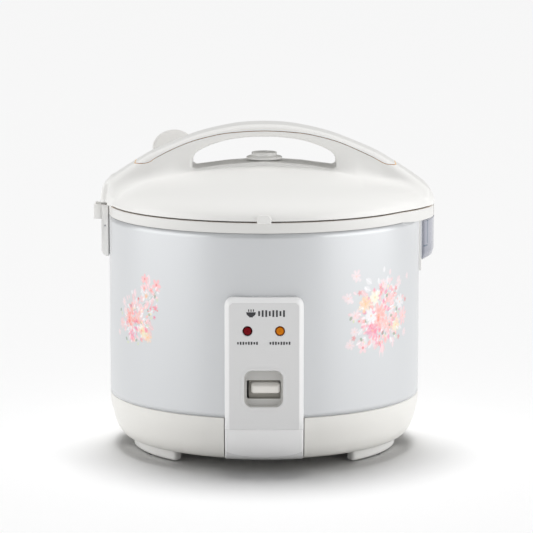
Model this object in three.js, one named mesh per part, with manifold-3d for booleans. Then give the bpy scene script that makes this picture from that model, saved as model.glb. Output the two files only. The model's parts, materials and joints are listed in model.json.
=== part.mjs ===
// A jar rice cooker, in millimetres: +Z up, the control panel faces -Y, the lid's hinge is on +X.
import * as THREE from "three";
import { mergeVertices } from "three/addons/utils/BufferGeometryUtils.js";
import Module from "manifold-3d";

const wasm = await Module();
wasm.setup();

// Facets round the large outer pieces and round the inner ones.
const ROUND = 60;
const INNER_ROUND = 40;
const GAP = 0.3;

// Body.
const BODY_R = 150;
const SEAM_Z = 53;
const CASE_BOTTOM = 53.3;
const CASE_TOP = 225.5;
const CASE_WALL = 1;
const RING_BOTTOM = 225.8;
const RING_TOP = 235.6;
const FOOT_OUTER = 128.5;
const FOOT_INNER = 118.5;
const FOOT_FROM = 41;
const FOOT_TO = 80;
const FOOT_ANGLES = [60, 120, 240, 300];
const POST_ANGLES = [90, 210, 330];
const POST_RING = 100;

// The base bowl's outside, from its underside up to the seam with the case.
const BASE_CURVE = [[128.2, 10.5], [137.6, 13.4], [143.7, 22], [147.4, 34.5], [149.5, 44], [BODY_R, SEAM_Z]];

// Lid and its hinge.
const LID_BOTTOM = 236.9;
const LID_TOP = 273.6;
const LID_WALL = 2.6;
const HINGE_X = 158;
const HINGE_Z = 230;
const HINGE_PIN_R = 2;
const ARM_INNER = 7;
const ARM_OUTER = 16.4;
// The hinge block and the lid's end above it share one round outline.
const BLOCK_X = 64.1;
const BLOCK_R = 100;
const BLOCK_BOTTOM = 224.6;

// Handle arch, as (distance from the middle, height).
const HANDLE_HALF = 22;
const HANDLE_ROUND = 5;
const ARCH = [
  [0, 313], [23, 311.9], [45, 308], [60.5, 304.1], [72, 300.3], [91.4, 292.5], [108.8, 284.8],
  [122, 277], [134.3, 269.3], [145.5, 261.5],
];
const RIGHT_END = [[154.5, 254.8], [158.4, 250.8], [161.4, 245], [163.3, 239], [163.7, LID_BOTTOM]];
const LEFT_END = [[-154.5, 254.6], [-156, 251.2], [-157.2, 246], [-158, 239.5], [-158.2, LID_BOTTOM]];
const SEAM_RIGHT = [
  [33, 305], [52, 301.6], [72, 295.9], [91, 287.8], [105, 281.2], [118.5, 274.7], [125.6, 274.7],
];
const SEAM_LEFT = [
  [-33, 305], [-52, 301.6], [-72, 295.9], [-91, 287.8], [-104, 281], [-114, 275.9], [-123.7, 275.9],
];
const SEAM_TOP = 306.9;
const FINGER_ARCH = [[13.6, 300.9], [33, 298.5], [47, 294.7], [58.5, 290], [65.5, 285.5], [69, 279]];
const SADDLE = [[69, 270.5], [35, 275]];
const SADDLE_TOP = 277.3;

// Pan and heater.
const PAN_R = 108;
const PAN_BOTTOM = 80.3;
const PAN_FLANGE_Z = 232.3;
const PLATE_BOTTOM = 67;
const PLATE_TOP = 80;
const SHELF_BOTTOM = 50;

// Control panel.
const PANEL_HALF = 36.3;
const PANEL_FRONT = -159.6;
const PANEL_TOP = 167.4;
const PANEL_CREASE = 45;
const LAMP_Z = 137;
const LAMP_RED_X = -15.3;
const LAMP_AMBER_X = 14.5;
const LENS_R = 4.3;
const ARM_PIVOT_Y = -75;
const ARM_PIVOT_Z = 44.5;

// Latch on the left.
const LATCH_X = -153.5;
const LATCH_Z = 214;
const LATCH_HALF = 12.5;

// Spatula at the back left, as an angle round the body.
const SPATULA_ANGLE = 126;

const AXES = {
  x: new THREE.Matrix4().makeBasis(
    new THREE.Vector3(0, 1, 0), new THREE.Vector3(0, 0, 1), new THREE.Vector3(1, 0, 0)),
  y: new THREE.Matrix4().makeBasis(
    new THREE.Vector3(1, 0, 0), new THREE.Vector3(0, 0, 1), new THREE.Vector3(0, 1, 0)),
  z: new THREE.Matrix4(),
};

const assembly = new THREE.Group();

// A closed geometry as a solid that can be joined and cut, with its faces turned outwards.
function solid(geometry) {
  const bare = new THREE.BufferGeometry();
  bare.setAttribute("position", (geometry.index ? geometry.toNonIndexed() : geometry).getAttribute("position"));
  const merged = mergeVertices(bare, 1e-4);
  const index = merged.index.array;
  const corners = [];
  for (let i = 0; i < index.length; i += 3) {
    const [a, b, c] = [index[i], index[i + 1], index[i + 2]];
    if (a !== b && b !== c && c !== a) corners.push(a, b, c);
  }
  const build = (triVerts) => new wasm.Manifold(new wasm.Mesh({
    numProp: 3,
    vertProperties: new Float32Array(merged.attributes.position.array),
    triVerts: new Uint32Array(triVerts),
  }));
  const made = build(corners);
  if (made.volume() > 0) return made;
  return build(corners.reverse());
}

function outline(points) {
  return new THREE.Shape(points.map(([u, v]) => new THREE.Vector2(u, v)));
}

// Extrudes an outline along an axis: along z it is drawn in (x, y), along y in (x, z), along x in (y, z).
function prism(shape, axis, from, to, bevel = { size: 0, depth: 0, steps: 1 }) {
  const geometry = new THREE.ExtrudeGeometry(shape, {
    depth: to - from - 2 * bevel.depth,
    bevelEnabled: bevel.size > 0,
    bevelSize: bevel.size,
    bevelOffset: -bevel.size,
    bevelThickness: bevel.depth,
    bevelSegments: bevel.steps,
    curveSegments: 4,
  });
  geometry.translate(0, 0, from + bevel.depth);
  return solid(geometry.applyMatrix4(AXES[axis]));
}

function box(x0, x1, y0, y1, z0, z1) {
  return prism(outline([[x0, y0], [x1, y0], [x1, y1], [x0, y1]]), "z", z0, z1);
}

function rod(axis, radius, from, to, u = 0, v = 0, sides = 20) {
  const points = [];
  for (let i = 0; i < sides; i += 1) {
    const a = (2 * Math.PI * i) / sides;
    points.push([u + radius * Math.cos(a), v + radius * Math.sin(a)]);
  }
  return prism(outline(points), axis, from, to);
}

// Turns a profile of (radius, height) points round the vertical line through (x, y).
function turned(profile, sides, x = 0, y = 0) {
  const onAxis = profile[0][0] === 0 && profile[profile.length - 1][0] === 0;
  const loop = onAxis ? profile : [...profile, profile[0]];
  const geometry = new THREE.LatheGeometry(loop.map(([r, z]) => new THREE.Vector2(r, z)), sides);
  geometry.rotateX(Math.PI / 2);
  geometry.translate(x, y, 0);
  return solid(geometry);
}

// A round wire along a curve through the points.
function wire(points, radius, sides, steps) {
  const section = [];
  for (let i = 0; i < sides; i += 1) {
    const a = (2 * Math.PI * i) / sides;
    section.push([radius * Math.cos(a), radius * Math.sin(a)]);
  }
  const path = new THREE.CatmullRomCurve3(points.map((p) => new THREE.Vector3(...p)), false, "centripetal");
  return solid(new THREE.ExtrudeGeometry(outline(section), { steps, extrudePath: path, bevelEnabled: false }));
}

// Points of a coil of the given radius, its turns spread between two places on its axis.
function coil(radius, turns, from, to, perTurn, place) {
  const points = [];
  const count = turns * perTurn;
  for (let i = 0; i <= count; i += 1) {
    const a = (2 * Math.PI * i) / perTurn;
    points.push(place(radius * Math.cos(a), radius * Math.sin(a), from + ((to - from) * i) / count));
  }
  return points;
}

function roundedRect(x0, x1, y0, y1, r) {
  const s = new THREE.Shape();
  s.absarc(x1 - r, y0 + r, r, -Math.PI / 2, 0);
  s.absarc(x1 - r, y1 - r, r, 0, Math.PI / 2);
  s.absarc(x0 + r, y1 - r, r, Math.PI / 2, Math.PI);
  s.absarc(x0 + r, y0 + r, r, Math.PI, 1.5 * Math.PI);
  return s;
}

function polar(radius, degrees) {
  const a = (degrees * Math.PI) / 180;
  return [radius * Math.cos(a), radius * Math.sin(a)];
}

// Moves a solid that was built at the origin's right-hand side round to an angle about the body's axis.
function swing(shape, degrees) {
  return shape.rotate([0, 0, degrees]);
}

function mirrored(points) {
  return points.map(([u, v]) => [-u, v]).reverse();
}

function lowered(points, by) {
  return points.map(([u, v]) => [u, v - by]);
}

function add(name, shape, material) {
  const data = shape.getMesh();
  const geometry = new THREE.BufferGeometry();
  geometry.setAttribute("position", new THREE.BufferAttribute(data.vertProperties, 3));
  geometry.setIndex(new THREE.BufferAttribute(data.triVerts, 1));
  geometry.computeVertexNormals();
  const mesh = new THREE.Mesh(geometry, material);
  mesh.name = name;
  assembly.add(mesh);
}

function finish(colour, roughness, metalness) {
  return new THREE.MeshStandardMaterial({ color: colour, roughness, metalness });
}

const lidPlastic = () => finish(0xebeae6, 0.35, 0);
const basePlastic = () => finish(0xe2e0d9, 0.4, 0);
const panelPlastic = () => finish(0xd4d4d3, 0.4, 0);
const pearlSteel = () => finish(0xd9dbde, 0.3, 0.2);
const bareAluminium = () => finish(0xc2c4c6, 0.4, 1);
const panCoating = () => finish(0x55565a, 0.45, 0.3);
const polishedSteel = () => finish(0xc9cbcd, 0.25, 1);
const springSteel = () => finish(0xa9abb0, 0.3, 1);
const darkPlastic = () => finish(0x3b3c40, 0.6, 0);
const rubberPad = () => finish(0x4a4a4c, 0.9, 0);
const sealRubber = () => finish(0xbfbfbd, 0.8, 0);

function buildFeet() {
  const ring = turned([[FOOT_INNER, 0.8], [FOOT_OUTER, 0.8], [FOOT_OUTER, 11.5], [FOOT_INNER, 11.5]], ROUND);
  return FOOT_ANGLES.map((middle, i) => {
    const side = i === 0 || i === 2 ? 1 : -1;
    const front = i < 2 ? 90 : 270;
    const corners = [FOOT_FROM, (FOOT_FROM + FOOT_TO) / 2, FOOT_TO].map((a) => polar(180, front - side * a));
    const wedge = prism(outline([[0, 0], ...corners]), "z", 0, 12);
    const pocket = rod("z", 3.9, 0, 3.4, ...polar(123.5, footAngle(i)), 12);
    return ring.intersect(wedge).subtract(pocket);
  });
}

// The middle of a foot, in degrees round from +X.
function footAngle(i) {
  const half = (FOOT_FROM + FOOT_TO) / 2;
  return [90 - half, 90 + half, 270 - half, 270 + half][i];
}

function buildBase() {
  const inside = [
    [148.5, SEAM_Z], [148.5, 58], [146.5, 58], [146.5, 45], [144.5, 35.5], [141, 23.8], [135.9, 15.8],
    [127.6, 13], [0, 13],
  ];
  let bowl = turned([[0, 10.5], ...BASE_CURVE, ...inside], ROUND);
  buildFeet().forEach((foot) => {
    bowl = bowl.add(foot);
  });
  POST_ANGLES.forEach((angle, i) => {
    const [x, y] = polar(POST_RING, angle);
    bowl = bowl.add(rod("z", 6, 12, SHELF_BOTTOM - GAP, x, y, 14));
    bowl = bowl.subtract(rod("z", 4.2, 10, 14, x, y, 14)).subtract(rod("z", 2, 13, 51, x, y, 10));
    const shank = rod("z", 1.7, 13.4, 54, x, y, 10);
    add(`base_screw_${i + 1}`, rod("z", 3.8, 10.8, 13.4, x, y, 14).add(shank), springSteel());
  });
  for (let i = 0; i < 8; i += 1) {
    bowl = bowl.subtract(swing(box(58, 88, -2.2, 2.2, 9, 15), 22.5 + 45 * i));
  }
  add("base_housing", bowl, basePlastic());
  FOOT_ANGLES.forEach((_, i) => {
    add(`foot_pad_${i + 1}`, rod("z", 3.6, 0, 3.1, ...polar(123.5, footAngle(i)), 12), rubberPad());
  });
}

function buildCase() {
  const inside = BODY_R - CASE_WALL;
  const wall = [[inside, CASE_BOTTOM], [BODY_R, CASE_BOTTOM], [BODY_R, CASE_TOP], [inside, CASE_TOP]];
  const window = box(-30, 30, -160, -120, 62, 158);
  const inletHole = box(-20.4, 20.4, 120, 160, 65.6, 96.4);
  add("outer_case", turned(wall, ROUND).subtract(window).subtract(inletHole), pearlSteel());
}

function buildShoulderRing() {
  let ring = turned([
    [BODY_R, RING_BOTTOM], [BODY_R, 234.8], [149.2, RING_TOP], [126, RING_TOP], [120, 232], [110.5, 232],
    [110.5, 229], [119, 229], [125.5, 232.6], [146.4, 232.6], [146.4, 220], [148.4, 220], [148.4, RING_BOTTOM],
  ], ROUND);
  const round = turned([
    [0, BLOCK_BOTTOM], [BLOCK_R - 0.6, BLOCK_BOTTOM], [BLOCK_R, 225.4], [BLOCK_R, 233], [BLOCK_R - 2.6, RING_TOP],
    [0, RING_TOP],
  ], 48, BLOCK_X);
  const block = round.intersect(box(139, 170, -70, 70, 220, 240));
  ring = ring.add(block.subtract(rod("z", BODY_R + GAP, 220, RING_BOTTOM, 0, 0, ROUND)));
  ring = ring.subtract(rod("y", HINGE_PIN_R + 0.06, -24.6, 24.6, HINGE_X, HINGE_Z));
  [-1, 1].forEach((side) => {
    const edges = [side * (ARM_INNER - 0.4), side * (ARM_OUTER + 0.4)].sort((a, b) => a - b);
    ring = ring.subtract(box(153.2, 170, edges[0], edges[1], 225.4, 240));
  });
  ring = ring.subtract(box(153.2, 163, -5.2, 5.2, 225.4, 240));
  add("shoulder_ring", ring, lidPlastic());
  add("hinge_pin", rod("y", HINGE_PIN_R, -24.3, 24.3, HINGE_X, HINGE_Z), polishedSteel());
  const turns = coil(3.2, 5, -4.2, 4.2, 10, (u, v, w) => [HINGE_X + u, w, HINGE_Z + v]);
  add("hinge_spring", wire(turns, 0.55, 6, 60), springSteel());
}

function buildInnerCase() {
  let shelf = turned([
    [30, SHELF_BOTTOM], [121, SHELF_BOTTOM], [121, 228.5], [120, 228.5], [120, 51], [30, 51],
  ], INNER_ROUND);
  POST_ANGLES.forEach((angle) => {
    shelf = shelf.subtract(rod("z", 2, 49, 52, ...polar(POST_RING, angle), 10));
  });
  [78, 102].forEach((angle) => {
    shelf = shelf.subtract(rod("z", 6, 49, 52, ...polar(60, angle), 12));
  });
  add("inner_case", shelf, bareAluminium());
  const band = [[121.4, 120], [122.4, 120], [122.4, 142], [121.4, 142]];
  add("side_heater_band", turned(band, INNER_ROUND), polishedSteel());
}

function buildPan() {
  add("inner_pan", turned([
    [0, PAN_BOTTOM], [80, PAN_BOTTOM], [91, 82.8], [100, 89], [106, 98.5], [PAN_R, 110], [PAN_R, PAN_FLANGE_Z],
    [117.3, PAN_FLANGE_Z], [117.3, 233.9], [106.6, 233.9], [106.2, 110], [104.4, 99.3], [98.8, 90.5], [90.2, 84.5],
    [80, 82.1], [0, 82.1],
  ], INNER_ROUND), panCoating());
}

function buildHeater() {
  let plate = turned([
    [20, PLATE_BOTTOM], [88, PLATE_BOTTOM], [88, 76.5], [84.5, PLATE_TOP], [20, PLATE_TOP],
  ], INNER_ROUND);
  [30, 150, 270].forEach((angle) => {
    plate = plate.add(rod("z", 4, 51.3, PLATE_BOTTOM + 1, ...polar(78, angle), 12));
  });
  add("heating_plate", plate, bareAluminium());
  const loop = [];
  for (let angle = 102; angle <= 438; angle += 16) {
    loop.push([...polar(60, angle), 62.4]);
  }
  const start = polar(60, 102);
  const end = polar(60, 78);
  const path = [[...start, 40], [...start, 54], ...loop, [...end, 54], [...end, 40]];
  add("sheath_heater", wire(path, 3.6, 8, 64), springSteel());
}

function buildSensor() {
  add("sensor_housing", turned([
    [11.2, 51.3], [36, 51.3], [36, 52.5], [12.6, 52.5], [12.6, 73], [11.2, 73],
  ], 24), bareAluminium());
  add("sensor_cap", turned([
    [0, 77.6], [14.2, 77.6], [14.2, 66], [16, 66], [16, 78.8], [15, PLATE_TOP], [0, PLATE_TOP],
  ], 24), polishedSteel());
  add("sensor_ferrite", rod("z", 9, 72.8, 77.3), darkPlastic());
  const turns = coil(15, 4, 53.4, 65.1, 10, (u, v, w) => [u, v, w]);
  add("sensor_spring", wire(turns, 0.6, 6, 48), springSteel());
  add("magnet_plunger", turned([
    [0, 36], [2.2, 36], [2.2, 39.6], [6, 39.6], [6, 41], [2.2, 41], [2.2, 47], [6, 47], [6, 48.4], [2.2, 48.4],
    [2.2, 57.6], [9.5, 57.6], [9.5, 62.6], [0, 62.6],
  ], 20), darkPlastic());
}

function buildSwitch() {
  const pivot = rod("x", 4, -9, 9, ARM_PIVOT_Y, ARM_PIVOT_Z);
  let arm = box(-7, 7, -142, 8, 43.3, 45.7).add(pivot);
  arm = arm.add(box(-7, 7, -142, -139.6, 43.3, 88));
  arm = arm.subtract(box(-2.8, 2.8, -3, 9, 40, 50));
  arm = arm.subtract(rod("x", 2.06, -10, 10, ARM_PIVOT_Y, ARM_PIVOT_Z));
  add("switch_arm", arm, darkPlastic());
  const key = prism(roundedRect(-12.1, 14.7, 78.1, 88.5, 1.5), "y", -156.4, -142.3);
  // A shield behind the key closes the slot at every height of the key.
  const shield = box(-18, 18, -149.8, -148.6, 68, 97);
  add("switch_key", key.add(shield), finish(0xdedbd4, 0.35, 0));
  add("switch_pin", rod("x", 2, -12.2, 12.2, ARM_PIVOT_Y, ARM_PIVOT_Z), polishedSteel());
  let bracket = box(-11.6, 11.6, -82, -68, 13.3, 49.5).subtract(box(-9.4, 9.4, -83, -67, 15.3, 50));
  bracket = bracket.subtract(rod("x", 2.06, -12.5, 12.5, ARM_PIVOT_Y, ARM_PIVOT_Z));
  add("switch_bracket", bracket, polishedSteel());
  const button = box(15, 18, -104, -101, 34, 37);
  add("micro_switch", box(12.4, 22, -112, -92, 13.3, 35).add(button), darkPlastic());
}

function buildElectrics() {
  add("keep_warm_thermostat", rod("z", 8, 38, SHELF_BOTTOM - GAP, -55, 40), polishedSteel());
  add("thermal_fuse", rod("x", 3, 46, 72, -40, 46.5, 12), finish(0xb9a27a, 0.5, 0));
  let block = box(30, 62, 58, 76, 13.3, 28);
  [38, 46, 54].forEach((x) => {
    block = block.subtract(box(x - 2.4, x + 2.4, 61, 73, 22, 29));
  });
  add("terminal_block", block, finish(0xe5e2d6, 0.5, 0));
  add("lamp_board", box(-26, 26, -137.6, -136, 122, 152), finish(0x9b8a55, 0.6, 0));
  [["cooking", LAMP_RED_X, 0xa01018], ["keep_warm", LAMP_AMBER_X, 0xe88a18]].forEach(([name, x, colour]) => {
    add(`lamp_${name}`, rod("y", 2.6, -152.5, -137.9, x, LAMP_Z, 14), finish(0xf0dcc0, 0.1, 0));
    add(`lens_${name}`, rod("y", LENS_R, -159.2, -156.3, x, LAMP_Z).add(
      rod("y", 6, -156.4, -153.2, x, LAMP_Z)), finish(colour, 0.15, 0));
  });
}

function buildPanel() {
  const face = new THREE.Shape();
  face.moveTo(-PANEL_HALF, 40);
  face.lineTo(PANEL_HALF, 40);
  face.absarc(PANEL_HALF - 8, PANEL_TOP - 8, 8, 0, Math.PI / 2);
  face.absarc(-PANEL_HALF + 8, PANEL_TOP - 8, 8, Math.PI / 2, Math.PI);
  const upper = prism(face, "y", PANEL_FRONT, -120, { size: 3.9, depth: 2.6, steps: 1 });
  const skirt = turned([
    [0, 11.9], [142, 11.9], [149.8, 16.5], [155.4, 25], [158.5, 36], [159.6, PANEL_CREASE], [0, PANEL_CREASE],
  ], 120).intersect(box(-PANEL_HALF, PANEL_HALF, -170, -110, 10, 60));
  let panel = upper.intersect(box(-50, 50, -170, -110, PANEL_CREASE, 180)).add(skirt);
  const body = [
    [0, 0], [128.5, 10.2], [137.9, 13.1], [144, 21.8], [147.7, 34.4], [149.8, 44], [BODY_R + GAP, 52.9],
    [BODY_R + GAP, 200], [0, 200],
  ];
  panel = panel.subtract(box(-33.4, 33.4, -156.4, -120, 58, 162.4));
  panel = panel.add(box(-24, 23, -156.6, -152.6, 62, 105));
  panel = panel.subtract(turned(body, ROUND));
  const dish = { size: 2.6, depth: 2.2, steps: 1 };
  const rim = prism(roundedRect(-21.7, 20.5, 65.4, 102.4, 8), "y", -166, -157.4, dish);
  const well = prism(roundedRect(-19.1, 17.9, 68, 99.8, 5.4), "y", -158.5, -154.8);
  const slot = prism(roundedRect(-16, 15.2, 73.1, 90.4, 1.5), "y", -155, -150);
  panel = panel.subtract(rim).subtract(well).subtract(slot);
  [LAMP_RED_X, LAMP_AMBER_X].forEach((x) => {
    panel = panel.subtract(rod("y", LENS_R + GAP, -161, -150, x, LAMP_Z));
  });
  add("front_panel", panel, panelPlastic());
}

function buildInlet() {
  let housing = prism(roundedRect(-20, 20, 66, 96, 4), "y", 128, 159.6);
  housing = housing.add(prism(roundedRect(-25, 25, 61, 101, 6), "y", 150.4, 153));
  housing = housing.subtract(prism(roundedRect(-15.5, 15.5, 70.5, 91.5, 3), "y", 141, 161));
  [["left", -7], ["right", 7]].forEach(([name, x]) => {
    housing = housing.subtract(rod("y", 2.5, 127, 142, x, 81, 12));
    add(`inlet_pin_${name}`, rod("y", 2.2, 124, 155, x, 81, 12), polishedSteel());
  });
  add("power_inlet", housing, darkPlastic());
}

function buildCollector() {
  const plate = turned([[150.3, 172], [152.8, 172], [152.8, 223.6], [150.3, 223.6]], ROUND * 2);
  add("collector_plate", plate.intersect(box(140, 160, -23, 23, 165, 230)), lidPlastic());
  const plan = (inset) => {
    const round = rod("z", BLOCK_R + 0.2 - inset, 180, 230, BLOCK_X, 0, 72);
    const front = box(150.2 + inset, 170, -47 + inset, 47 - inset, 180, 230);
    return round.intersect(front).subtract(box(140, 153.2 + inset, -24.5 - inset, 24.5 + inset, 180, 230));
  };
  const side = outline([[145, 223.5], [145, 185.3], [160.5, 185.3], [163.3, 188.3], [166, 193], [166, 223.5]]);
  const cavity = plan(1.8).intersect(box(140, 170, -50, 50, 199, 230));
  add("dew_collector", plan(0).intersect(prism(side, "y", -60, 60)).subtract(cavity), finish(0x9698a5, 0.1, 0));
}

function buildLatch() {
  const side = outline([
    [-150.3, 184.6], [-152.6, 184.6], [-155.6, 186.6], [-157.1, 190], [-157.1, 234.6], [-150.3, 234.6],
  ]);
  let bracket = prism(side, "y", -LATCH_HALF, LATCH_HALF);
  bracket = bracket.subtract(box(-156.1, -151.1, -10.8, 10.8, 187.5, 240));
  bracket = bracket.subtract(box(-158, -156, -10.8, 10.8, 218.5, 240));
  bracket = bracket.subtract(box(-151.2, -150, -10.8, 10.8, 228, 240));
  bracket = bracket.subtract(rod("y", 1.21, -13, 13, LATCH_X, LATCH_Z, 14));
  add("latch_bracket", bracket, lidPlastic());
  let lever = box(-155.3, -153.7, -10.4, 10.4, 203, 234.2).add(rod("y", 2.1, -10.4, 10.4, LATCH_X, LATCH_Z, 16));
  lever = lever.add(box(-157.6, -155, -10.4, 10.4, 220.9, 234.2));
  lever = lever.add(box(-164.3, -157.4, -LATCH_HALF, LATCH_HALF, 220.7, 234.7));
  lever = lever.subtract(box(-163, -158.6, -11, 11, 223, 236));
  lever = lever.subtract(rod("y", 1.21, -13, 13, LATCH_X, LATCH_Z, 14));
  add("latch_lever", lever, lidPlastic());
  add("latch_pin", rod("y", 1.15, -12.3, 12.3, LATCH_X, LATCH_Z, 14), polishedSteel());
  const bow = [[-151.8, 189.5], [-152, 194], [-153.4, 203.5], [-152.4, 208.5]];
  const strip = outline([...bow, ...bow.map(([x, z]) => [x + 0.4, z]).reverse()]);
  add("latch_spring", prism(strip, "y", -4, 4), springSteel());
}

function buildSpatula() {
  let holder = box(150.6, 152.6, -14, 14, 108, 214).add(box(152.4, 163, -14, 14, 108, 200));
  holder = holder.subtract(box(154, 161.2, -11.6, 11.6, 110, 201));
  add("spatula_holder", swing(holder, SPATULA_ANGLE), lidPlastic());
  const blade = [];
  for (let i = 0; i <= 8; i += 1) {
    const a = (Math.PI * i) / 8;
    blade.push([24.7 * Math.cos(a), 276 + 17 * Math.sin(a)]);
  }
  const left = [[-22.5, 225], [-9, 206], [-9, 112]];
  const shape = outline([...blade, ...left, ...mirrored(left)]);
  add("rice_spatula", swing(prism(shape, "x", 155.4, 158.8), SPATULA_ANGLE), lidPlastic());
}

// The arch's outside from the left end to the right one.
function archLine() {
  return [...mirrored(ARCH.slice(1)), ...ARCH];
}

function seamLine() {
  return [...[...SEAM_LEFT].reverse(), [0, SEAM_TOP], ...SEAM_RIGHT];
}

function handleEnvelope() {
  const right = [...RIGHT_END, [163.7, 200]];
  const silhouette = outline([[-149.5, 200], [-149.5, 258.8], ...archLine(), ...right]);
  const bevel = { size: HANDLE_ROUND, depth: HANDLE_ROUND, steps: 2 };
  return prism(silhouette, "y", -HANDLE_HALF, HANDLE_HALF, bevel);
}

function buildDome() {
  const skin = [];
  const inner = [];
  for (let i = 0; i <= 9; i += 1) {
    const a = (Math.PI * i) / 18;
    skin.push([BODY_R * Math.cos(a), LID_BOTTOM + (LID_TOP - LID_BOTTOM) * Math.sin(a)]);
  }
  for (let i = 0; i <= 6; i += 1) {
    const a = (Math.PI * i) / 12;
    inner.push([(BODY_R - LID_WALL) * Math.cos(a), LID_BOTTOM + (LID_TOP - LID_BOTTOM - LID_WALL) * Math.sin(a)]);
  }
  skin[9][0] = 0;
  inner[6][0] = 0;
  const outer = turned([[0, LID_BOTTOM], ...skin], ROUND);
  const hollow = turned([[0, 230], [BODY_R - LID_WALL, 230], ...inner], ROUND);
  return { outer, hollow };
}

function buildLid() {
  const { outer, hollow } = buildDome();
  const envelope = handleEnvelope();
  const seam = seamLine();
  const ends = {
    right: [[134.3, 269.3], [145.5, 261.5], ...RIGHT_END],
    left: [[-149.5, 258.8], [-134.3, 269.3]],
  };
  const below = outline([[-149.5, LID_BOTTOM], ...ends.left, ...lowered(seam, 0.4), ...ends.right]);
  const roundEnd = rod("z", BLOCK_R, 230, 330, BLOCK_X, 0, 72);
  const end = roundEnd.add(box(-200, 100, -60, 60, 230, 330));
  const mass = envelope.intersect(prism(below, "y", -30, 30)).intersect(end);
  const ear = turned([
    [0, LID_BOTTOM], [BLOCK_R - 0.4, LID_BOTTOM], [99, 241.5], [95, 247], [88, 251.5], [76, 256], [0, 262],
  ], 72, BLOCK_X).intersect(box(110, 170, -70, 70, 230, 280));
  const leftEar = prism(outline([
    [-140, LID_BOTTOM], [-140, 262], [-145.5, 262.3], ...LEFT_END,
  ]), "y", -14, 14).intersect(prism(roundedRect(-158.2, -120, -13.5, 13.5, 5), "z", 230, 270));
  let shell = outer.add(mass).add(ear).add(leftEar);
  const finger = outline([
    ...mirrored(FINGER_ARCH), [0, 301.1], ...FINGER_ARCH, ...SADDLE, [0, SADDLE_TOP], ...mirrored(SADDLE),
  ]);
  shell = shell.subtract(prism(finger, "y", -40, 40)).subtract(hollow);
  const rightHollow = [
    [76, 238], [76, 286], [91, 281], [104, 274.8], [117, 268.4], [131, 264], [142, 256], [143, 238],
  ];
  shell = shell.subtract(prism(outline(rightHollow), "y", -18, 18));
  shell = shell.subtract(prism(outline(mirrored(rightHollow)), "y", -18, 18));
  [-1, 1].forEach((side) => {
    const edges = [side * ARM_INNER, side * ARM_OUTER].sort((a, b) => a - b);
    shell = shell.add(box(154, 162, edges[0], edges[1], HINGE_Z, LID_BOTTOM + 2));
    shell = shell.add(rod("y", 4.2, edges[0], edges[1], HINGE_X, HINGE_Z));
    shell = shell.subtract(rod("z", 1.8, 260, 300, side * 98, 0, 10));
  });
  shell = shell.subtract(rod("y", HINGE_PIN_R + 0.07, -20, 20, HINGE_X, HINGE_Z));
  shell = shell.add(box(-152.4, -150.7, -6, 6, 230.5, 238)).add(box(-153.2, -152, -6, 6, 230.5, 231.5));
  const tab = outline([[-6.6, 235], [6.6, 235], [6.6, 240], [4.6, 242.4], [0, 243.3], [-4.6, 242.4], [-6.6, 240]]);
  shell = shell.add(prism(tab, "y", -151.8, -150.4).add(box(-5, 5, -151, -148, 237.2, 240)));
  shell = shell.subtract(rod("z", 11.2, 255, 290, 0, 0, 24));
  add("lid_shell", shell, lidPlastic());

  const above = outline([...archLine().slice(2, -2), ...[...seam].reverse()]);
  let cover = envelope.intersect(prism(above, "y", -30, 30));
  const room = outline([
    [-84, 280], [-84, 293.2], [-60.5, 302.2], [-23, 310], [23, 310], [60.5, 302.2], [84, 293.2], [84, 280],
  ]);
  cover = cover.subtract(prism(room, "y", -17.5, 17.5));
  [["left", -98], ["right", 98]].forEach(([name, x]) => {
    cover = cover.subtract(rod("z", 1.8, 270, 287.5, x, 0, 10));
    const shank = rod("z", 1.5, 273.4, 287, x, 0, 10);
    add(`handle_screw_${name}`, rod("z", 3.4, 271, 273.4, x, 0, 14).add(shank), springSteel());
  });
  add("handle_cover", cover, lidPlastic());
}

function buildLidInside() {
  add("lid_liner", turned([
    [13.6, 242], [118, 242], [124, 237.6], [145, 237.6], [145, 239.2], [125, 239.2], [119, 243.6], [13.6, 243.6],
  ], INNER_ROUND), basePlastic());
  add("lid_heater", turned([[30, 244], [112, 244], [112, 244.8], [30, 244.8]], INNER_ROUND), bareAluminium());
  let duct = turned([[3, 240.4], [13.2, 240.4], [13.2, 268], [11.6, 268], [11.6, 242], [3, 242]], 24);
  [0, 90, 180, 270].forEach((angle) => {
    duct = duct.subtract(rod("z", 1.8, 239, 243, ...polar(7.2, angle), 8));
  });
  add("steam_duct", duct, lidPlastic());
  let disc = turned([
    [6, 238], [104, 238], [110.5, 235.6], [110.5, 236.8], [104, 239.2], [6, 239.2],
  ], INNER_ROUND);
  [0, 60, 120, 180, 240, 300].forEach((angle) => {
    disc = disc.subtract(rod("z", 2, 237, 240, ...polar(20, angle), 8));
  });
  add("inner_lid", disc, bareAluminium());
  add("inner_lid_gasket", turned([
    [110.8, 234.3], [115.4, 234.3], [116.8, 236], [115, 238.2], [110.8, 238.2],
  ], INNER_ROUND), sealRubber());
  add("inner_lid_knob", turned([
    [0, 234.2], [8, 234.2], [9, 235.2], [9, 236.4], [5.7, 237.6], [5.7, 240.1], [2.7, 240.1], [2.7, 246], [0, 246],
  ], 20), darkPlastic());
  let cap = turned([
    [0, 282], [8.8, 282], [8.8, 266], [10.8, 266], [10.8, 278], [17.25, 278], [17.25, 280], [15, 280.8],
    [12.25, 281.2], [12.25, 283.6], [11, 284.7], [0, 284.7],
  ], 32);
  [45, 135, 225, 315].forEach((angle) => {
    cap = cap.subtract(swing(box(8, 12, -2.5, 2.5, 276.2, 277.8), angle));
  });
  add("steam_cap", cap, lidPlastic());
}

buildBase();
buildCase();
buildShoulderRing();
buildInnerCase();
buildPan();
buildHeater();
buildSensor();
buildSwitch();
buildElectrics();
buildPanel();
buildInlet();
buildCollector();
buildLatch();
buildSpatula();
buildLid();
buildLidInside();

export default assembly;
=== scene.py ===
"""A jar rice cooker on a plain pale floor. Lengths are in millimetres until a mesh is made."""

import json
import math

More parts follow.
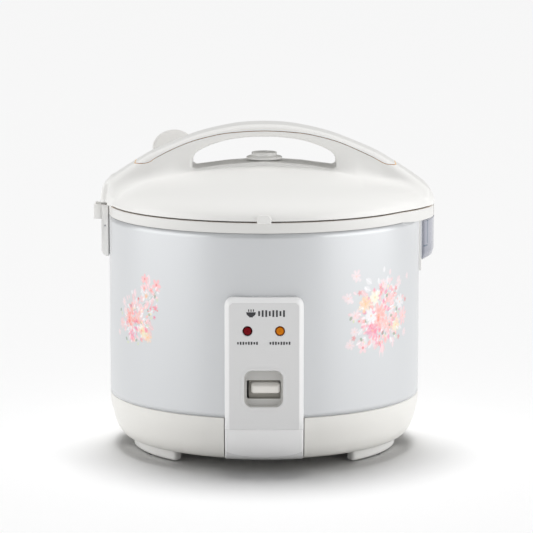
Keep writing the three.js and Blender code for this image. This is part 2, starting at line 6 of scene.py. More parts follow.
import bmesh
import bpy
import numpy as np
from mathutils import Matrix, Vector

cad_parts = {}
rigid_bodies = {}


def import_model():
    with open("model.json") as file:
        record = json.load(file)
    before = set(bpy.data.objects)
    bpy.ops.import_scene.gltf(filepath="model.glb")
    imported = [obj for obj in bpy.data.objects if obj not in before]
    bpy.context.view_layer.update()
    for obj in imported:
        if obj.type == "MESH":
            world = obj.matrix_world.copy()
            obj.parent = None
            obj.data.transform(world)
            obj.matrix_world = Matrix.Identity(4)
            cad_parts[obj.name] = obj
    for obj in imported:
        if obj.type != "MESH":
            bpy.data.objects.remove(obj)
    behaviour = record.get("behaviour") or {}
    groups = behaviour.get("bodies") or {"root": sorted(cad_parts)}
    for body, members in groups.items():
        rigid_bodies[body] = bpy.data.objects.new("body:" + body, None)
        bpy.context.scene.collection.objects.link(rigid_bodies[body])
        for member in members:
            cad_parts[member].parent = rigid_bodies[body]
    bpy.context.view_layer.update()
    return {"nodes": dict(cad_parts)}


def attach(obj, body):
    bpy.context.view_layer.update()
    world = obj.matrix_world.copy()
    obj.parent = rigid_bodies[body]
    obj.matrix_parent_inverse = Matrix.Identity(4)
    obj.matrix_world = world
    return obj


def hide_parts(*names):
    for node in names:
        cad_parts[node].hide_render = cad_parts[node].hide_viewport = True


MM = 0.001

# The CAD part's own dimensions. Outlines are (x, z) points, cut short or run on where a curve needs it.
BODY_R = 150.0
SEAM_Z = 53.0
RING_BOTTOM = 225.8
RING_TOP = 235.6
LID_BOTTOM = 236.9
LID_TOP = 273.6
LID_WALL = 2.6
BLOCK_X = 64.1
BLOCK_R = 100.0
HINGE_X = 158.0
HINGE_Z = 230.0
ARM_Y = 11.7
HANDLE_HALF = 22.0
ARCH = [
    (0, 313), (23, 311.9), (45, 308), (60.5, 304.1), (72, 300.3), (91.4, 292.5), (108.8, 284.8),
    (122, 277), (134.3, 269.3), (145.5, 261.5),
]
RIGHT_END = [(154.5, 254.8), (158.4, 250.8), (161.4, 245), (163.3, 239), (163.7, 230)]
SEAM = [
    (-140, 275.9), (-114, 275.9), (-104, 281), (-91, 287.8), (-72, 295.9), (-52, 301.6), (-33, 305),
    (0, 306.9), (33, 305), (52, 301.6), (72, 295.9), (91, 287.8), (105, 281.2), (118.5, 274.7), (140, 274.7),
]
FINGER = [(13.6, 300.9), (33, 298.5), (47, 294.7), (58.5, 290), (65.5, 285.5), (69, 279), (69, 272.5)]
SADDLE = [(66, 270.8), (35, 275)]
PANEL_HALF = 36.3
PANEL_FRONT = 159.6
# The key's recess: two corners as (x, z), and a corner radius.
RECESS = ((-18.6, 65.6), (17.5, 100.2), 7.5)
RECESS_DEPTH = 5.2
PANEL_TOP = 167.4
PANEL_CREASE = 45.0
PANEL_CORNER = 8
PANEL_INNER = -156.4
KEY_FRONT = -156.4
LAMP_Z = 137.0
LAMPS = {"cooking": -15.3, "keep_warm": 14.5}
FEET = [29.5, 150.5, 209.5, 330.5]
FOOT_R = 123.5
COLLECTOR_R = 100.2
SPATULA_ANGLE = math.radians(126)
SPATULA_R = 157.1

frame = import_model()


# Shapes as distances: negative inside, in millimetres.

def soft_min(a, b, k):
    h = np.clip(0.5 + 0.5 * (b - a) / k, 0, 1)
    return b + (a - b) * h - k * h * (1 - h)


def soft_max(a, b, k):
    return -soft_min(-a, -b, k)


def box_field(x, y, z, low, high, r=0.5):
    """A box with its edges rounded to r."""
    q = [np.abs(p - (a + b) / 2) - (b - a) / 2 + r for p, a, b in zip((x, y, z), low, high)]
    outside = np.sqrt(sum(np.maximum(c, 0) ** 2 for c in q))
    return outside + np.minimum(np.maximum(np.maximum(q[0], q[1]), q[2]), 0) - r


def rounded_rect(u, v, low, high, r):
    qu = np.abs(u - (low[0] + high[0]) / 2) - (high[0] - low[0]) / 2 + r
    qv = np.abs(v - (low[1] + high[1]) / 2) - (high[1] - low[1]) / 2 + r
    return np.hypot(np.maximum(qu, 0), np.maximum(qv, 0)) + np.minimum(np.maximum(qu, qv), 0) - r


def polygon_field(u, v, points):
    """The distance to a closed outline."""
    shape = np.broadcast(u, v).shape
    u, v = np.broadcast_to(u, shape), np.broadcast_to(v, shape)
    best = np.full(shape, 1e12)
    sign = np.ones(shape)
    for (ax, ay), (bx, by) in zip(points, points[1:] + points[:1]):
        ex, ey = bx - ax, by - ay
        wx, wy = u - ax, v - ay
        t = np.clip((wx * ex + wy * ey) / (ex * ex + ey * ey), 0, 1)
        best = np.minimum(best, (wx - ex * t) ** 2 + (wy - ey * t) ** 2)
        above, below = v >= ay, v < by
        left = ex * wy > ey * wx
        sign = np.where((above & below & left) | (~above & ~below & ~left), -sign, sign)
    return sign * np.sqrt(best)


def slab(field_2d, depth, half, r):
    """An outline's field given a thickness of 2 half along depth, its edges rounded to r."""
    a, b = field_2d + r, np.abs(depth) - half + r
    return np.minimum(np.maximum(a, b), 0) + np.hypot(np.maximum(a, 0), np.maximum(b, 0)) - r


def mirrored(points):
    return [(-x, z) for x, z in reversed(points)]


def smooth_line(points, steps=5):
    """A curve through the points."""
    p = np.array([points[0], *points, points[-1]], float)
    out = []
    for i in range(1, len(p) - 2):
        for s in range(steps):
            t = s / steps
            out.append(0.5 * (
                2 * p[i] + (p[i + 1] - p[i - 1]) * t
                + (2 * p[i - 1] - 5 * p[i] + 4 * p[i + 1] - p[i + 2]) * t * t
                + (3 * p[i] - p[i - 1] - 3 * p[i + 1] + p[i + 2]) * t ** 3
            ))
    return [tuple(q) for q in out] + [tuple(p[-1])]


def crossings(f):
    """How many edges of each grid cell the surface crosses, and the sum of the places where it does."""
    inside = f < 0
    count = np.zeros([n - 1 for n in f.shape])
    place = np.zeros([*count.shape, 3])
    for a in [(i, j, k) for i in (0, 1) for j in (0, 1) for k in (0, 1)]:
        for axis in range(3):
            if a[axis]:
                continue
            b = list(a)
            b[axis] = 1
            cut = tuple(slice(c, n - 1 + c) for c, n in zip(a, f.shape))
            cut_b = tuple(slice(c, n - 1 + c) for c, n in zip(b, f.shape))
            fa, fb = f[cut], f[cut_b]
            crossed = inside[cut] != inside[cut_b]
            t = np.where(crossed, fa / np.where(crossed, fa - fb, 1), 0)
            for d in range(3):
                place[..., d] += np.where(crossed, a[d] + (t if d == axis else 0), 0)
            count += crossed
    return count, place


def quads_across(axis, inside, number):
    """A quad round each grid edge along an axis that the surface crosses."""
    u, v = (axis + 1) % 3, (axis + 2) % 3
    low_side = [slice(1, n - 1) for n in inside.shape]
    low_side[axis] = slice(0, inside.shape[axis] - 1)
    high_side = list(low_side)
    high_side[axis] = slice(1, inside.shape[axis])
    starts = inside[tuple(low_side)]
    edges = np.argwhere(starts != inside[tuple(high_side)])
    out = starts[tuple(edges.T)]
    edges = edges + [0 if d == axis else 1 for d in range(3)]
    ring = []
    for du, dv in ((1, 1), (0, 1), (0, 0), (1, 0)):
        e = edges.copy()
        e[:, u] -= du
        e[:, v] -= dv
        ring.append(number[tuple(e.T)])
    ring = np.stack(ring, 1)
    return np.where(out[:, None], ring, ring[:, ::-1])


def surface_of(field, low, high, step):
    """Vertices and quads of the surface where a field is zero."""
    axes = [np.arange(a - step, b + 2 * step, step) for a, b in zip(low, high)]
    x, y, z = axes[0][:, None, None], axes[1][None, :, None], axes[2][None, None, :]
    f = field(x, y, z) + 0.0 * (x + y + z)
    count, place = crossings(f)
    active = count > 0
    number = np.full(count.shape, -1)
    number[active] = np.arange(active.sum())
    origin = np.array([axis[0] for axis in axes])
    points = origin + step * (np.argwhere(active) + place[active] / count[active][:, None])
    quads = [quads_across(axis, f < 0, number) for axis in range(3)]
    for _ in range(4):
        points = settle(field, points)
    return points, np.concatenate(quads)


def settle(field, points, reach=0.05):
    """Moves points onto the field's surface."""
    x, y, z = points.T
    value = field(x, y, z)
    slope = np.stack([
        field(x + reach, y, z) - field(x - reach, y, z),
        field(x, y + reach, z) - field(x, y - reach, z),
        field(x, y, z + reach) - field(x, y, z - reach),
    ], 1) / (2 * reach)
    size = np.maximum((slope ** 2).sum(1), 0.05)
    return points - slope * np.clip(value / size, -1.5, 1.5)[:, None]


# Pieces.

def added(name, data):
    """A new object in the scene."""
    obj = bpy.data.objects.new(name, data)
    bpy.context.scene.collection.objects.link(obj)
    return obj


def piece(name, points, faces, body, material, slot=None, replaces=(), sharp=32, extra=None):
    """A mesh object that moves with a body."""
    mesh = bpy.data.meshes.new(name)
    mesh.from_pydata((np.asarray(points, float) * MM).tolist(), [], [list(map(int, f)) for f in faces])
    mesh.polygons.foreach_set("use_smooth", [True] * len(mesh.polygons))
    mesh.set_sharp_from_angle(angle=math.radians(sharp))
    obj = added(name, mesh)
    mesh.materials.append(material)
    if extra:
        mesh.materials.append(extra[0])
        for i in extra[1]:
            mesh.polygons[i].material_index = 1
    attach(obj, body)
    if replaces:
        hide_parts(*replaces)
    return obj


def carved(name, field, low, high, step, body, material, **options):
    points, quads = surface_of(field, low, high, step)
    return piece(name, points, quads, body, material, **{"sharp": 50, **options})


def rounded(points, steps=5):
    """An outline of (u, v, corner radius) points with its corners turned into arcs."""
    out = []
    n = len(points)
    for i, (u, v, r) in enumerate(points):
        here = Vector((u, v))
        before = Vector(points[i - 1][:2]) - here
        after = Vector(points[(i + 1) % n][:2]) - here
        if r <= 0 or before.length < 1e-6 or after.length < 1e-6:
            out.append((u, v))
            continue
        angle = before.angle(after)
        reach = min(r / math.tan(angle / 2), before.length * 0.48, after.length * 0.48)
        a, b = here + before.normalized() * reach, here + after.normalized() * reach
        for s in range(steps + 1):
            t = s / steps
            out.append(tuple((1 - t) ** 2 * a + 2 * t * (1 - t) * here + t * t * b))
    return out


def turned_mesh(profile, segments, centre=(0, 0)):
    """Points and faces of a profile of (radius, height) points turned round a vertical line."""
    closed = not (profile[0][0] < 1e-6 and profile[-1][0] < 1e-6)
    rows, points = [], []
    for r, z in profile:
        if r < 1e-6:
            rows.append([len(points)] * segments)
            points.append((centre[0], centre[1], z))
            continue
        rows.append(list(range(len(points), len(points) + segments)))
        for i in range(segments):
            a = 2 * math.pi * i / segments
            points.append((centre[0] + r * math.cos(a), centre[1] + r * math.sin(a), z))
    faces = []
    pairs = list(zip(rows, rows[1:])) + ([(rows[-1], rows[0])] if closed else [])
    for a, b in pairs:
        for i in range(segments):
            j = (i + 1) % segments
            face = []
            for v in (a[i], a[j], b[j], b[i]):
                if v not in face:
                    face.append(v)
            if len(face) > 2:
                faces.append(face)
    return points, faces


def turned(name, profile, body, material, segments=128, centre=(0, 0), **options):
    points, faces = turned_mesh(profile, segments, centre)
    return piece(name, points, faces, body, material, **options)


def recolour(obj, material, chosen):
    """Gives another material to the faces whose centre, in millimetres, is chosen."""
    obj.data.materials.append(material)
    index = len(obj.data.materials) - 1
    for face in obj.data.polygons:
        if chosen(*(face.center / MM)):
            face.material_index = index


def trim(node, material, width=0.35, angle=35):
    """Finishes a CAD node as it is: welded, with its edges softened."""
    obj = frame["nodes"][node]
    obj.data.materials.clear()
    obj.data.materials.append(material)
    weld = obj.modifiers.new("weld", "WELD")
    weld.merge_threshold = 0.00001
    if width:
        bevel = obj.modifiers.new("bevel", "BEVEL")
        bevel.width = width * MM
        bevel.segments = 2
        bevel.limit_method = "ANGLE"
        bevel.angle_limit = math.radians(angle)
        bevel.harden_normals = False
    obj.data.polygons.foreach_set("use_smooth", [True] * len(obj.data.polygons))
    obj.data.set_sharp_from_angle(angle=math.radians(angle))
    return obj


# Materials.

def set_inputs(node, values):
    for socket, value in values.items():
        node.inputs[socket].default_value = value


def surface(name, colour, roughness, metallic=0.0, coat=0.0, alpha=1.0, grain=0.0, grain_scale=900.0,
            blotch=0.0, gloss=0.5):
    """A principled material: blotch varies its roughness, and grain gives it a fine moulded relief."""
    mat = bpy.data.materials.new(name)
    mat.use_nodes = True
    nodes, links = mat.node_tree.nodes, mat.node_tree.links
    shader = nodes["Principled BSDF"]
    set_inputs(shader, {
        "Base Color": (*colour, 1), "Metallic": metallic, "Roughness": roughness,
        "Specular IOR Level": gloss, "Coat Weight": coat, "Coat Roughness": 0.08, "Alpha": alpha,
    })
    where = nodes.new("ShaderNodeTexCoord")

    def noise(scale, detail):
        texture = nodes.new("ShaderNodeTexNoise")
        set_inputs(texture, {"Scale": scale, "Detail": detail})
        links.new(where.outputs["Object"], texture.inputs["Vector"])
        return texture.outputs["Fac"]
    if blotch:
        spread = nodes.new("ShaderNodeMapRange")
        set_inputs(spread, {"To Min": roughness - blotch, "To Max": roughness + blotch})
        links.new(noise(22, 3), spread.inputs["Value"])
        links.new(spread.outputs["Result"], shader.inputs["Roughness"])
    if grain:
        bump = nodes.new("ShaderNodeBump")
        set_inputs(bump, {"Strength": grain, "Distance": 0.0002})
        links.new(noise(grain_scale, 2), bump.inputs["Height"])
        links.new(bump.outputs["Normal"], shader.inputs["Normal"])
    return mat


def printed_steel():
    """Pearl paint over steel; the print is in the mesh's own colours."""
    mat = surface("pearl_print", (0.8, 0.8, 0.82), 0.36, metallic=0.3, coat=0.3, grain=0.06,
                  grain_scale=1400, blotch=0.03)
    nodes, links = mat.node_tree.nodes, mat.node_tree.links
    colour = nodes.new("ShaderNodeVertexColor")
    colour.layer_name = "print"
    links.new(colour.outputs["Color"], nodes["Principled BSDF"].inputs["Base Color"])
    return mat


def plastic(name, colour, roughness=0.36, grain=0.12):
    return surface(name, colour, roughness, grain=grain, blotch=0.03)


def lens_plastic(name, colour):
    return surface(name, colour, 0.4, grain=0.02, gloss=0.12)


def metal(name, colour, roughness, grain, blotch):
    return surface(name, colour, roughness, metallic=1.0, grain=grain, blotch=blotch)


LID_WHITE = plastic("lid_white", (0.86, 0.855, 0.835), grain=0.10)
RING_WHITE = plastic("ring_white", (0.785, 0.78, 0.76), grain=0.10)
LATCH_WHITE = plastic("latch_white", (0.94, 0.935, 0.915), grain=0.10)
BASE_CREAM = plastic("base_cream", (0.83, 0.82, 0.785), 0.38)
PANEL_GREY = plastic("panel_grey", (0.745, 0.745, 0.745))
# Lighter grey as painted light: a painted highlight on the panel rim's bevel, and lightening of the
# down-facing skirt.
RIM_LIGHT_GREY = plastic("rim_painted_light", (0.87, 0.87, 0.87))
# Darker grey as painted shade for the key's recess, which is the panel's own plastic.
RECESS_SHADE_GREY = plastic("recess_painted_shade", (0.53, 0.525, 0.505))
# Dark grey of the plate behind the key's slot: painted shade for the slot's depth.
SLOT_SHADE_GREY = plastic("slot_shade_grey", (0.42, 0.40, 0.36), 0.5)
KEY_WHITE = surface("key_white", (0.86, 0.835, 0.79), 0.3, grain=0.05, blotch=0.02)
# A darker white than the lid's: painted shade for the paddle standing behind the lid.
PADDLE_SHADED_WHITE = surface("paddle_shaded_white", (0.78, 0.77, 0.75), 0.42, grain=0.2, grain_scale=600, blotch=0.04)
# Brown painted shade for the faces that close the seam gaps, so the gap lines read as brown shade.
SEAM_SHADE_BROWN = surface("seam_shade_brown", (0.88, 0.56, 0.27), 0.5, grain=0.1)
# Tan painted shade for the lid's bottom rim, so the lid's seam line reads as brown shade.
RIM_SEAM_SHADE_TAN = surface("rim_seam_shade_tan", (0.50, 0.335, 0.19), 0.6, grain=0.1)
INK = surface("ink", (0.04, 0.04, 0.045), 0.5, grain=0.05)
PEARL = printed_steel()
ALUMINIUM = metal("satin_aluminium", (0.62, 0.63, 0.64), 0.34, 0.12, 0.05)
STEEL = metal("bright_steel", (0.68, 0.69, 0.70), 0.22, 0.04, 0.04)
SPRING = metal("spring_steel", (0.42, 0.43, 0.45), 0.32, 0.08, 0.05)
PAN_GREY = surface("pan_coating", (0.055, 0.055, 0.06), 0.42, metallic=0.2, grain=0.25, grain_scale=1500,
                   blotch=0.05)
DARK = surface("dark_plastic", (0.045, 0.045, 0.05), 0.5, grain=0.2, blotch=0.05)
RUBBER = surface("pad_rubber", (0.07, 0.07, 0.075), 0.75, grain=0.3, blotch=0.05)
SILICONE = surface("seal_silicone", (0.55, 0.55, 0.54), 0.55, grain=0.1, blotch=0.05)
BOARD = surface("resin_board", (0.32, 0.24, 0.09), 0.55, grain=0.1, blotch=0.04)
CERAMIC = surface("insulator", (0.72, 0.70, 0.64), 0.4, grain=0.08, blotch=0.04)
GLASS = surface("lamp_glass", (0.9, 0.85, 0.78), 0.05, alpha=0.6, coat=0.5, grain=0.02)
SMOKE = surface("smoky_plastic", (0.30, 0.31, 0.37), 0.1, alpha=0.86, coat=0.3, grain=0.02)
SMOKE_EDGE = surface("smoky_edge", (0.13, 0.17, 0.23), 0.12, alpha=0.92, coat=0.3, grain=0.02)
LENS_RED = lens_plastic("lens_red", (0.19, 0.001, 0.005))
# The lenses' darker rim colours are painted shade at the edges of the domes.
RED_RIM_SHADE = lens_plastic("lens_red_rim_shade", (0.05, 0.0, 0.002))
LENS_AMBER = lens_plastic("lens_amber", (0.66, 0.2, 0.003))
AMBER_RIM_SHADE = lens_plastic("lens_amber_rim_shade", (0.25, 0.055, 0.001))


# The lid's crown: the dome, the arched handle and the two ears, in one smooth surface.

def dome_field(x, y, z):
    r = np.hypot(x, y)
    height = LID_TOP - LID_BOTTOM
    u, v = r / BODY_R, (z - LID_BOTTOM) / height
    size = np.sqrt(u * u + v * v)
    slope = np.sqrt(u * u / BODY_R ** 2 + v * v / height ** 2)
    curved = size * (size - 1) / np.maximum(slope, 1e-9)
    return np.where(z > LID_BOTTOM, curved, r - BODY_R)


def handle_outline():
    arch = [*mirrored(ARCH[1:]), *ARCH]
    top = smooth_line([(-149.5, 258.9), *arch[1:], *RIGHT_END], 3)
    return [(-149.5, 200), *top, (163.7, 200)]


def finger_outline():
    right = [*smooth_line([(0, 301.1), *FINGER[:-1]], 3), FINGER[-1], *SADDLE]
    return [*right, (0, 277.3), *mirrored(right[1:])]


def seam_height(x):
    xs, zs = zip(*smooth_line(SEAM, 4))
    return np.interp(x, xs, zs)


HANDLE_OUTLINE = handle_outline()
FINGER_OUTLINE = finger_outline()
EAR_PROFILE = [
    (-100, 200), (99.6, 200), (99.6, 237.5), (99, 241.5), (97.4, 244.6), (95, 247), (88, 251.5), (76, 256),
    (40, 262), (-100, 262),
]
LEFT_EAR = [
    (-120, 200), (-120, 262), (-147, 262), (-154.5, 254.6), (-156, 251.2), (-157.2, 246), (-158, 239.5),
    (-158.2, 236), (-158.2, 200),
]


def crown_field(x, y, z):
    dome = dome_field(x, y, z)
    block = np.hypot(x - BLOCK_X, y) - BLOCK_R
    leg = np.clip((np.abs(x) - 62) / 26, 0, 1)
    flare = 15 * leg * np.clip((seam_height(x) - z) / 30, 0, 1) ** 2
    handle = slab(polygon_field(x, z, HANDLE_OUTLINE), y, HANDLE_HALF + flare, 6.5)
    handle = np.where(x > 100, soft_max(handle, block, 6), handle)
    crown = soft_min(dome, handle, 1.5 + 6.5 * leg)
    ear = polygon_field(np.hypot(x - BLOCK_X, y), z, EAR_PROFILE)
    crown = np.where(x > 95, soft_min(crown, ear, 6), crown)
    left = slab(polygon_field(x, z, LEFT_EAR), y, 13.5, 2.5)
    left = soft_max(left, rounded_rect(x, y, (-158.2, -13.5), (-120, 13.5), 5), 1)
    crown = soft_min(crown, left, 2.2)
    finger = polygon_field(x, z, FINGER_OUTLINE) + 0 * y
    solid = soft_max(crown, -finger, 3.0)
    return soft_max(solid, -(dome + LID_WALL), 0.6)


def cut(points, faces, plane, normal):
    """Keeps the part of a mesh behind a plane, and closes it there."""
    bm = bmesh.new()
    verts = [bm.verts.new(p) for p in points]
    for f in faces:
        bm.faces.new([verts[i] for i in f])
    geom = bm.verts[:] + bm.edges[:] + bm.faces[:]
    made = bmesh.ops.bisect_plane(bm, geom=geom, dist=1e-4, plane_co=plane, plane_no=normal, clear_outer=True)
    rim = [e for e in made["geom_cut"] if isinstance(e, bmesh.types.BMEdge)]
    closing = bmesh.ops.triangle_fill(bm, edges=rim, use_beauty=True, normal=normal)["geom"]
    closing = {f for f in closing if isinstance(f, bmesh.types.BMFace)}
    bm.verts.index_update()
    points = [tuple(v.co) for v in bm.verts]
    faces = [[v.index for v in f.verts] for f in bm.faces]
    closed = [i for i, f in enumerate(bm.faces) if f in closing]
    bm.free()
    return points, faces, closed


def sheared(points, way):
    """Levels the handle's seam (way -1), or gives it back its curve (way 1)."""
    out = np.array(points, float)
    out[:, 2] += way * seam_height(out[:, 0])
    return out


def build_crown():
    """One surface, parted at the handle's seam by a gap of twice half_gap."""
    half_gap = 0.3
    points, quads = surface_of(crown_field, (-161, -151, 232), (166, 151, 316), 1.6)
    points, faces, _ = cut(points, quads, (0, 0, LID_BOTTOM), (0, 0, -1))
    level = sheared(points, -1)
    base, base_faces, shut = cut(level, faces, (0, 0, -half_gap), (0, 0, 1))
    base = sheared(base, 1)
    # The faces that close the handle's seam gap take painted brown shade.
    crown = piece("lid_crown", base, base_faces, "lid", LID_WHITE, slot="lid_plastic", replaces=["lid_shell"],
                  sharp=50, extra=(SEAM_SHADE_BROWN, shut))
    # The lid's bottom rim faces take painted tan shade for the lid seam.
    crown.data.materials.append(RIM_SEAM_SHADE_TAN)
    for face, corners in zip(crown.data.polygons, base_faces):
        if base[corners[0]][0] > -BODY_R and max(base[v][2] for v in corners) < LID_BOTTOM + 0.05:
            face.material_index = 2
    cover, cover_faces, shut = cut(level, faces, (0, 0, half_gap), (0, 0, -1))
    # The cover's faces that close the seam gap take painted brown shade too.
    piece("handle_top", sheared(cover, 1), cover_faces, "lid", LID_WHITE, slot="lid_plastic",
          replaces=["handle_cover"], sharp=50, extra=(SEAM_SHADE_BROWN, shut))


def build_lid_arms():
    """The hinge arms on the right, the latch's catch on the left, and the small front tab."""
    def arms(x, y, z):
        strap = box_field(x, np.abs(y), z, (154, 7, 229), (162, 16.4, 239), 1)
        knuckle = soft_max(np.hypot(x - HINGE_X, z - HINGE_Z) - 4.2, np.abs(np.abs(y) - ARM_Y) - 4.7, 0.6)
        return soft_min(strap, knuckle, 0.8)
    carved("lid_hinge_arms", arms, (152, -18, 224), (164, 18, 240), 0.8, "lid", LID_WHITE, slot="lid_plastic")

    def catch(x, y, z):
        tongue = box_field(x, y, z, (-152.4, -6, 230.5), (-150.2, 6, 238.5), 0.4)
        return soft_min(tongue, box_field(x, y, z, (-153.2, -6, 230.5), (-151.5, 6, 231.8), 0.3), 0.3)
    carved("lid_catch", catch, (-154, -7, 230), (-149, 7, 239), 0.5, "lid", LID_WHITE, slot="lid_plastic")
    shield = rounded([
        (-6.6, 235, 0.8), (6.6, 235, 0.8), (6.6, 240.2, 2), (3.6, 243, 4), (-3.6, 243, 4), (-6.6, 240.2, 2),
    ], 3)

    def tab(x, y, z):
        return slab(polygon_field(x, z, shield), y + 150.4, 1.4, 0.7)
    carved("lid_front_tab", tab, (-8, -153, 234), (8, -148, 244), 0.5, "lid", LID_WHITE, slot="lid_plastic")


# Cutting with boxes and rods.

def carve(obj, boxes=(), rods=(), sides=24):
    """Cuts boxes (low, high, turn in degrees) and upright rods (x, y, low, high, radius) out."""
    bm = bmesh.new()
    for low, high, turn in boxes:
        corners = [(x, y, z) for x in (low[0], high[0]) for y in (low[1], high[1]) for z in (low[2], high[2])]
        c, s = math.cos(math.radians(turn)), math.sin(math.radians(turn))
        v = [bm.verts.new(Vector((x * c - y * s, x * s + y * c, z)) * MM) for x, y, z in corners]
        for f in ((0, 1, 3, 2), (4, 6, 7, 5), (0, 4, 5, 1), (2, 3, 7, 6), (0, 2, 6, 4), (1, 5, 7, 3)):
            bm.faces.new([v[i] for i in f])
    for x, y, low, high, radius in rods:
        turns = [math.tau * i / sides for i in range(sides)]
        ring = [(x + radius * math.cos(a), y + radius * math.sin(a)) for a in turns]
        bottom = [bm.verts.new(Vector((u, v, low)) * MM) for u, v in ring]
        top = [bm.verts.new(Vector((u, v, high)) * MM) for u, v in ring]
        bm.faces.new(bottom[::-1])
        bm.faces.new(top)
        for i in range(sides):
            bm.faces.new((bottom[i - 1], bottom[i], top[i], top[i - 1]))
    bmesh.ops.recalc_face_normals(bm, faces=bm.faces[:])
    mesh = bpy.data.meshes.new("cutter")
    bm.to_mesh(mesh)
    bm.free()
    cutter = added("cutter", mesh)
    boolean = obj.modifiers.new("cut", "BOOLEAN")
    boolean.object = cutter
    boolean.solver = "EXACT"
    evaluated = obj.evaluated_get(bpy.context.evaluated_depsgraph_get())
    result = bpy.data.meshes.new_from_object(evaluated)
    obj.modifiers.remove(boolean)
    obj.data = result
    result.set_sharp_from_angle(angle=math.radians(32))
    bpy.data.objects.remove(cutter)


# The body.

BASE_CURVE = [(128.2, 10.5), (137.6, 13.4), (143.7, 22), (147.4, 34.5), (149.5, 44), (150, 52.4)]


def spots(radius, angles):
    """Places (x, y) round the cooker's axis, at angles in degrees."""
    return [(radius * math.cos(math.radians(a)), radius * math.sin(math.radians(a))) for a in angles]


def build_base():
    """The bowl with its vents, the four feet moulded on it, and their pads."""
    outside = smooth_line(BASE_CURVE, 6)
    inside = [
        (149.5, SEAM_Z), (148.6, SEAM_Z), (148.5, 58), (146.5, 58), (146.5, 45), (144.5, 35.5), (141, 23.8),
        (135.9, 15.8), (127.6, 13), (0, 13),
    ]
    bowl = turned("base_bowl", [(0, 10.5), *outside, *inside], "cooker", BASE_CREAM, 192, slot="base_plastic",
                  replaces=["base_housing"])
    slots = [((58, -2.2, 9), (88, 2.2, 15), 22.5 + 45 * i) for i in range(8)]
    holes = [(x, y, 9, 14, 4.2) for x, y in spots(100, (90, 210, 330))]
    grooves = [((x - 0.5, -160, 8), (x + 0.5, -125, 54), 0) for x in (-PANEL_HALF - 0.5, PANEL_HALF + 0.5)]
    carve(bowl, [*slots, *grooves], holes)

    def feet(x, y, z):
        along = np.radians(np.degrees(np.arctan2(np.abs(y), np.abs(x))) - FEET[0]) * FOOT_R
        return box_field(np.hypot(x, y), along, z, (118.5, -42.5, 0.8), (128.5, 42.5, 16), 3.2)
    # The feet take the lighter lid white in place of the bowl's cream, as painted light against the shade
    # under the bowl.
    carved("base_feet", feet, (-130, -130, 0), (130, 130, 12.6), 1.1, "cooker", LID_WHITE,
           slot="base_plastic")
    pad = rounded([(0, 0, 0), (3.6, 0, 0.8), (3.6, 3.1, 0.2), (0, 3.1, 0)], 3)
    for i, place in enumerate(spots(FOOT_R, FEET)):
        turned(f"rubber_foot_{i + 1}", pad, "cooker", RUBBER, 32, place, slot="rubber_pad",
               replaces=[f"foot_pad_{i + 1}"])
    for i in range(3):
        trim(f"base_screw_{i + 1}", SPRING, 0.3)


def spaced(low, high, step):
    return list(np.linspace(low, high, max(2, int(round((high - low) / step)) + 1)))


def grid_lines(low, high, zones, coarse):
    """Places from low to high, close together inside the zones ((from, to, step))."""
    out, here = [], low
    for a, b, step in zones:
        out += spaced(here, a, coarse)[:-1] + spaced(a, b, step)[:-1]
        here = b
    return out + spaced(here, high, coarse)


def srgb(r, g, b):
    """A colour given in 0 to 255 screen values."""
    return np.array([((c / 255 + 0.055) / 1.055) ** 2.4 if c > 10.3 else c / 255 / 12.92 for c in (r, g, b)])


GROUND = srgb(213, 215, 217)
CORAL, PINK, PALE_PINK = srgb(246, 168, 160), srgb(248, 190, 192), srgb(246, 214, 218)
MAGENTA, RED, ORANGE = srgb(232, 120, 160), srgb(232, 92, 92), srgb(250, 196, 140)
YELLOW, PALE_YELLOW, WHITE = srgb(246, 224, 158), srgb(248, 238, 200), srgb(238, 236, 238)
LEAF, LIME, BUD = srgb(120, 146, 112), srgb(206, 214, 164), srgb(232, 140, 140)
ROSE, DEEP_CORAL = srgb(246, 132, 152), srgb(236, 132, 112)

RNG = np.random.default_rng(7)


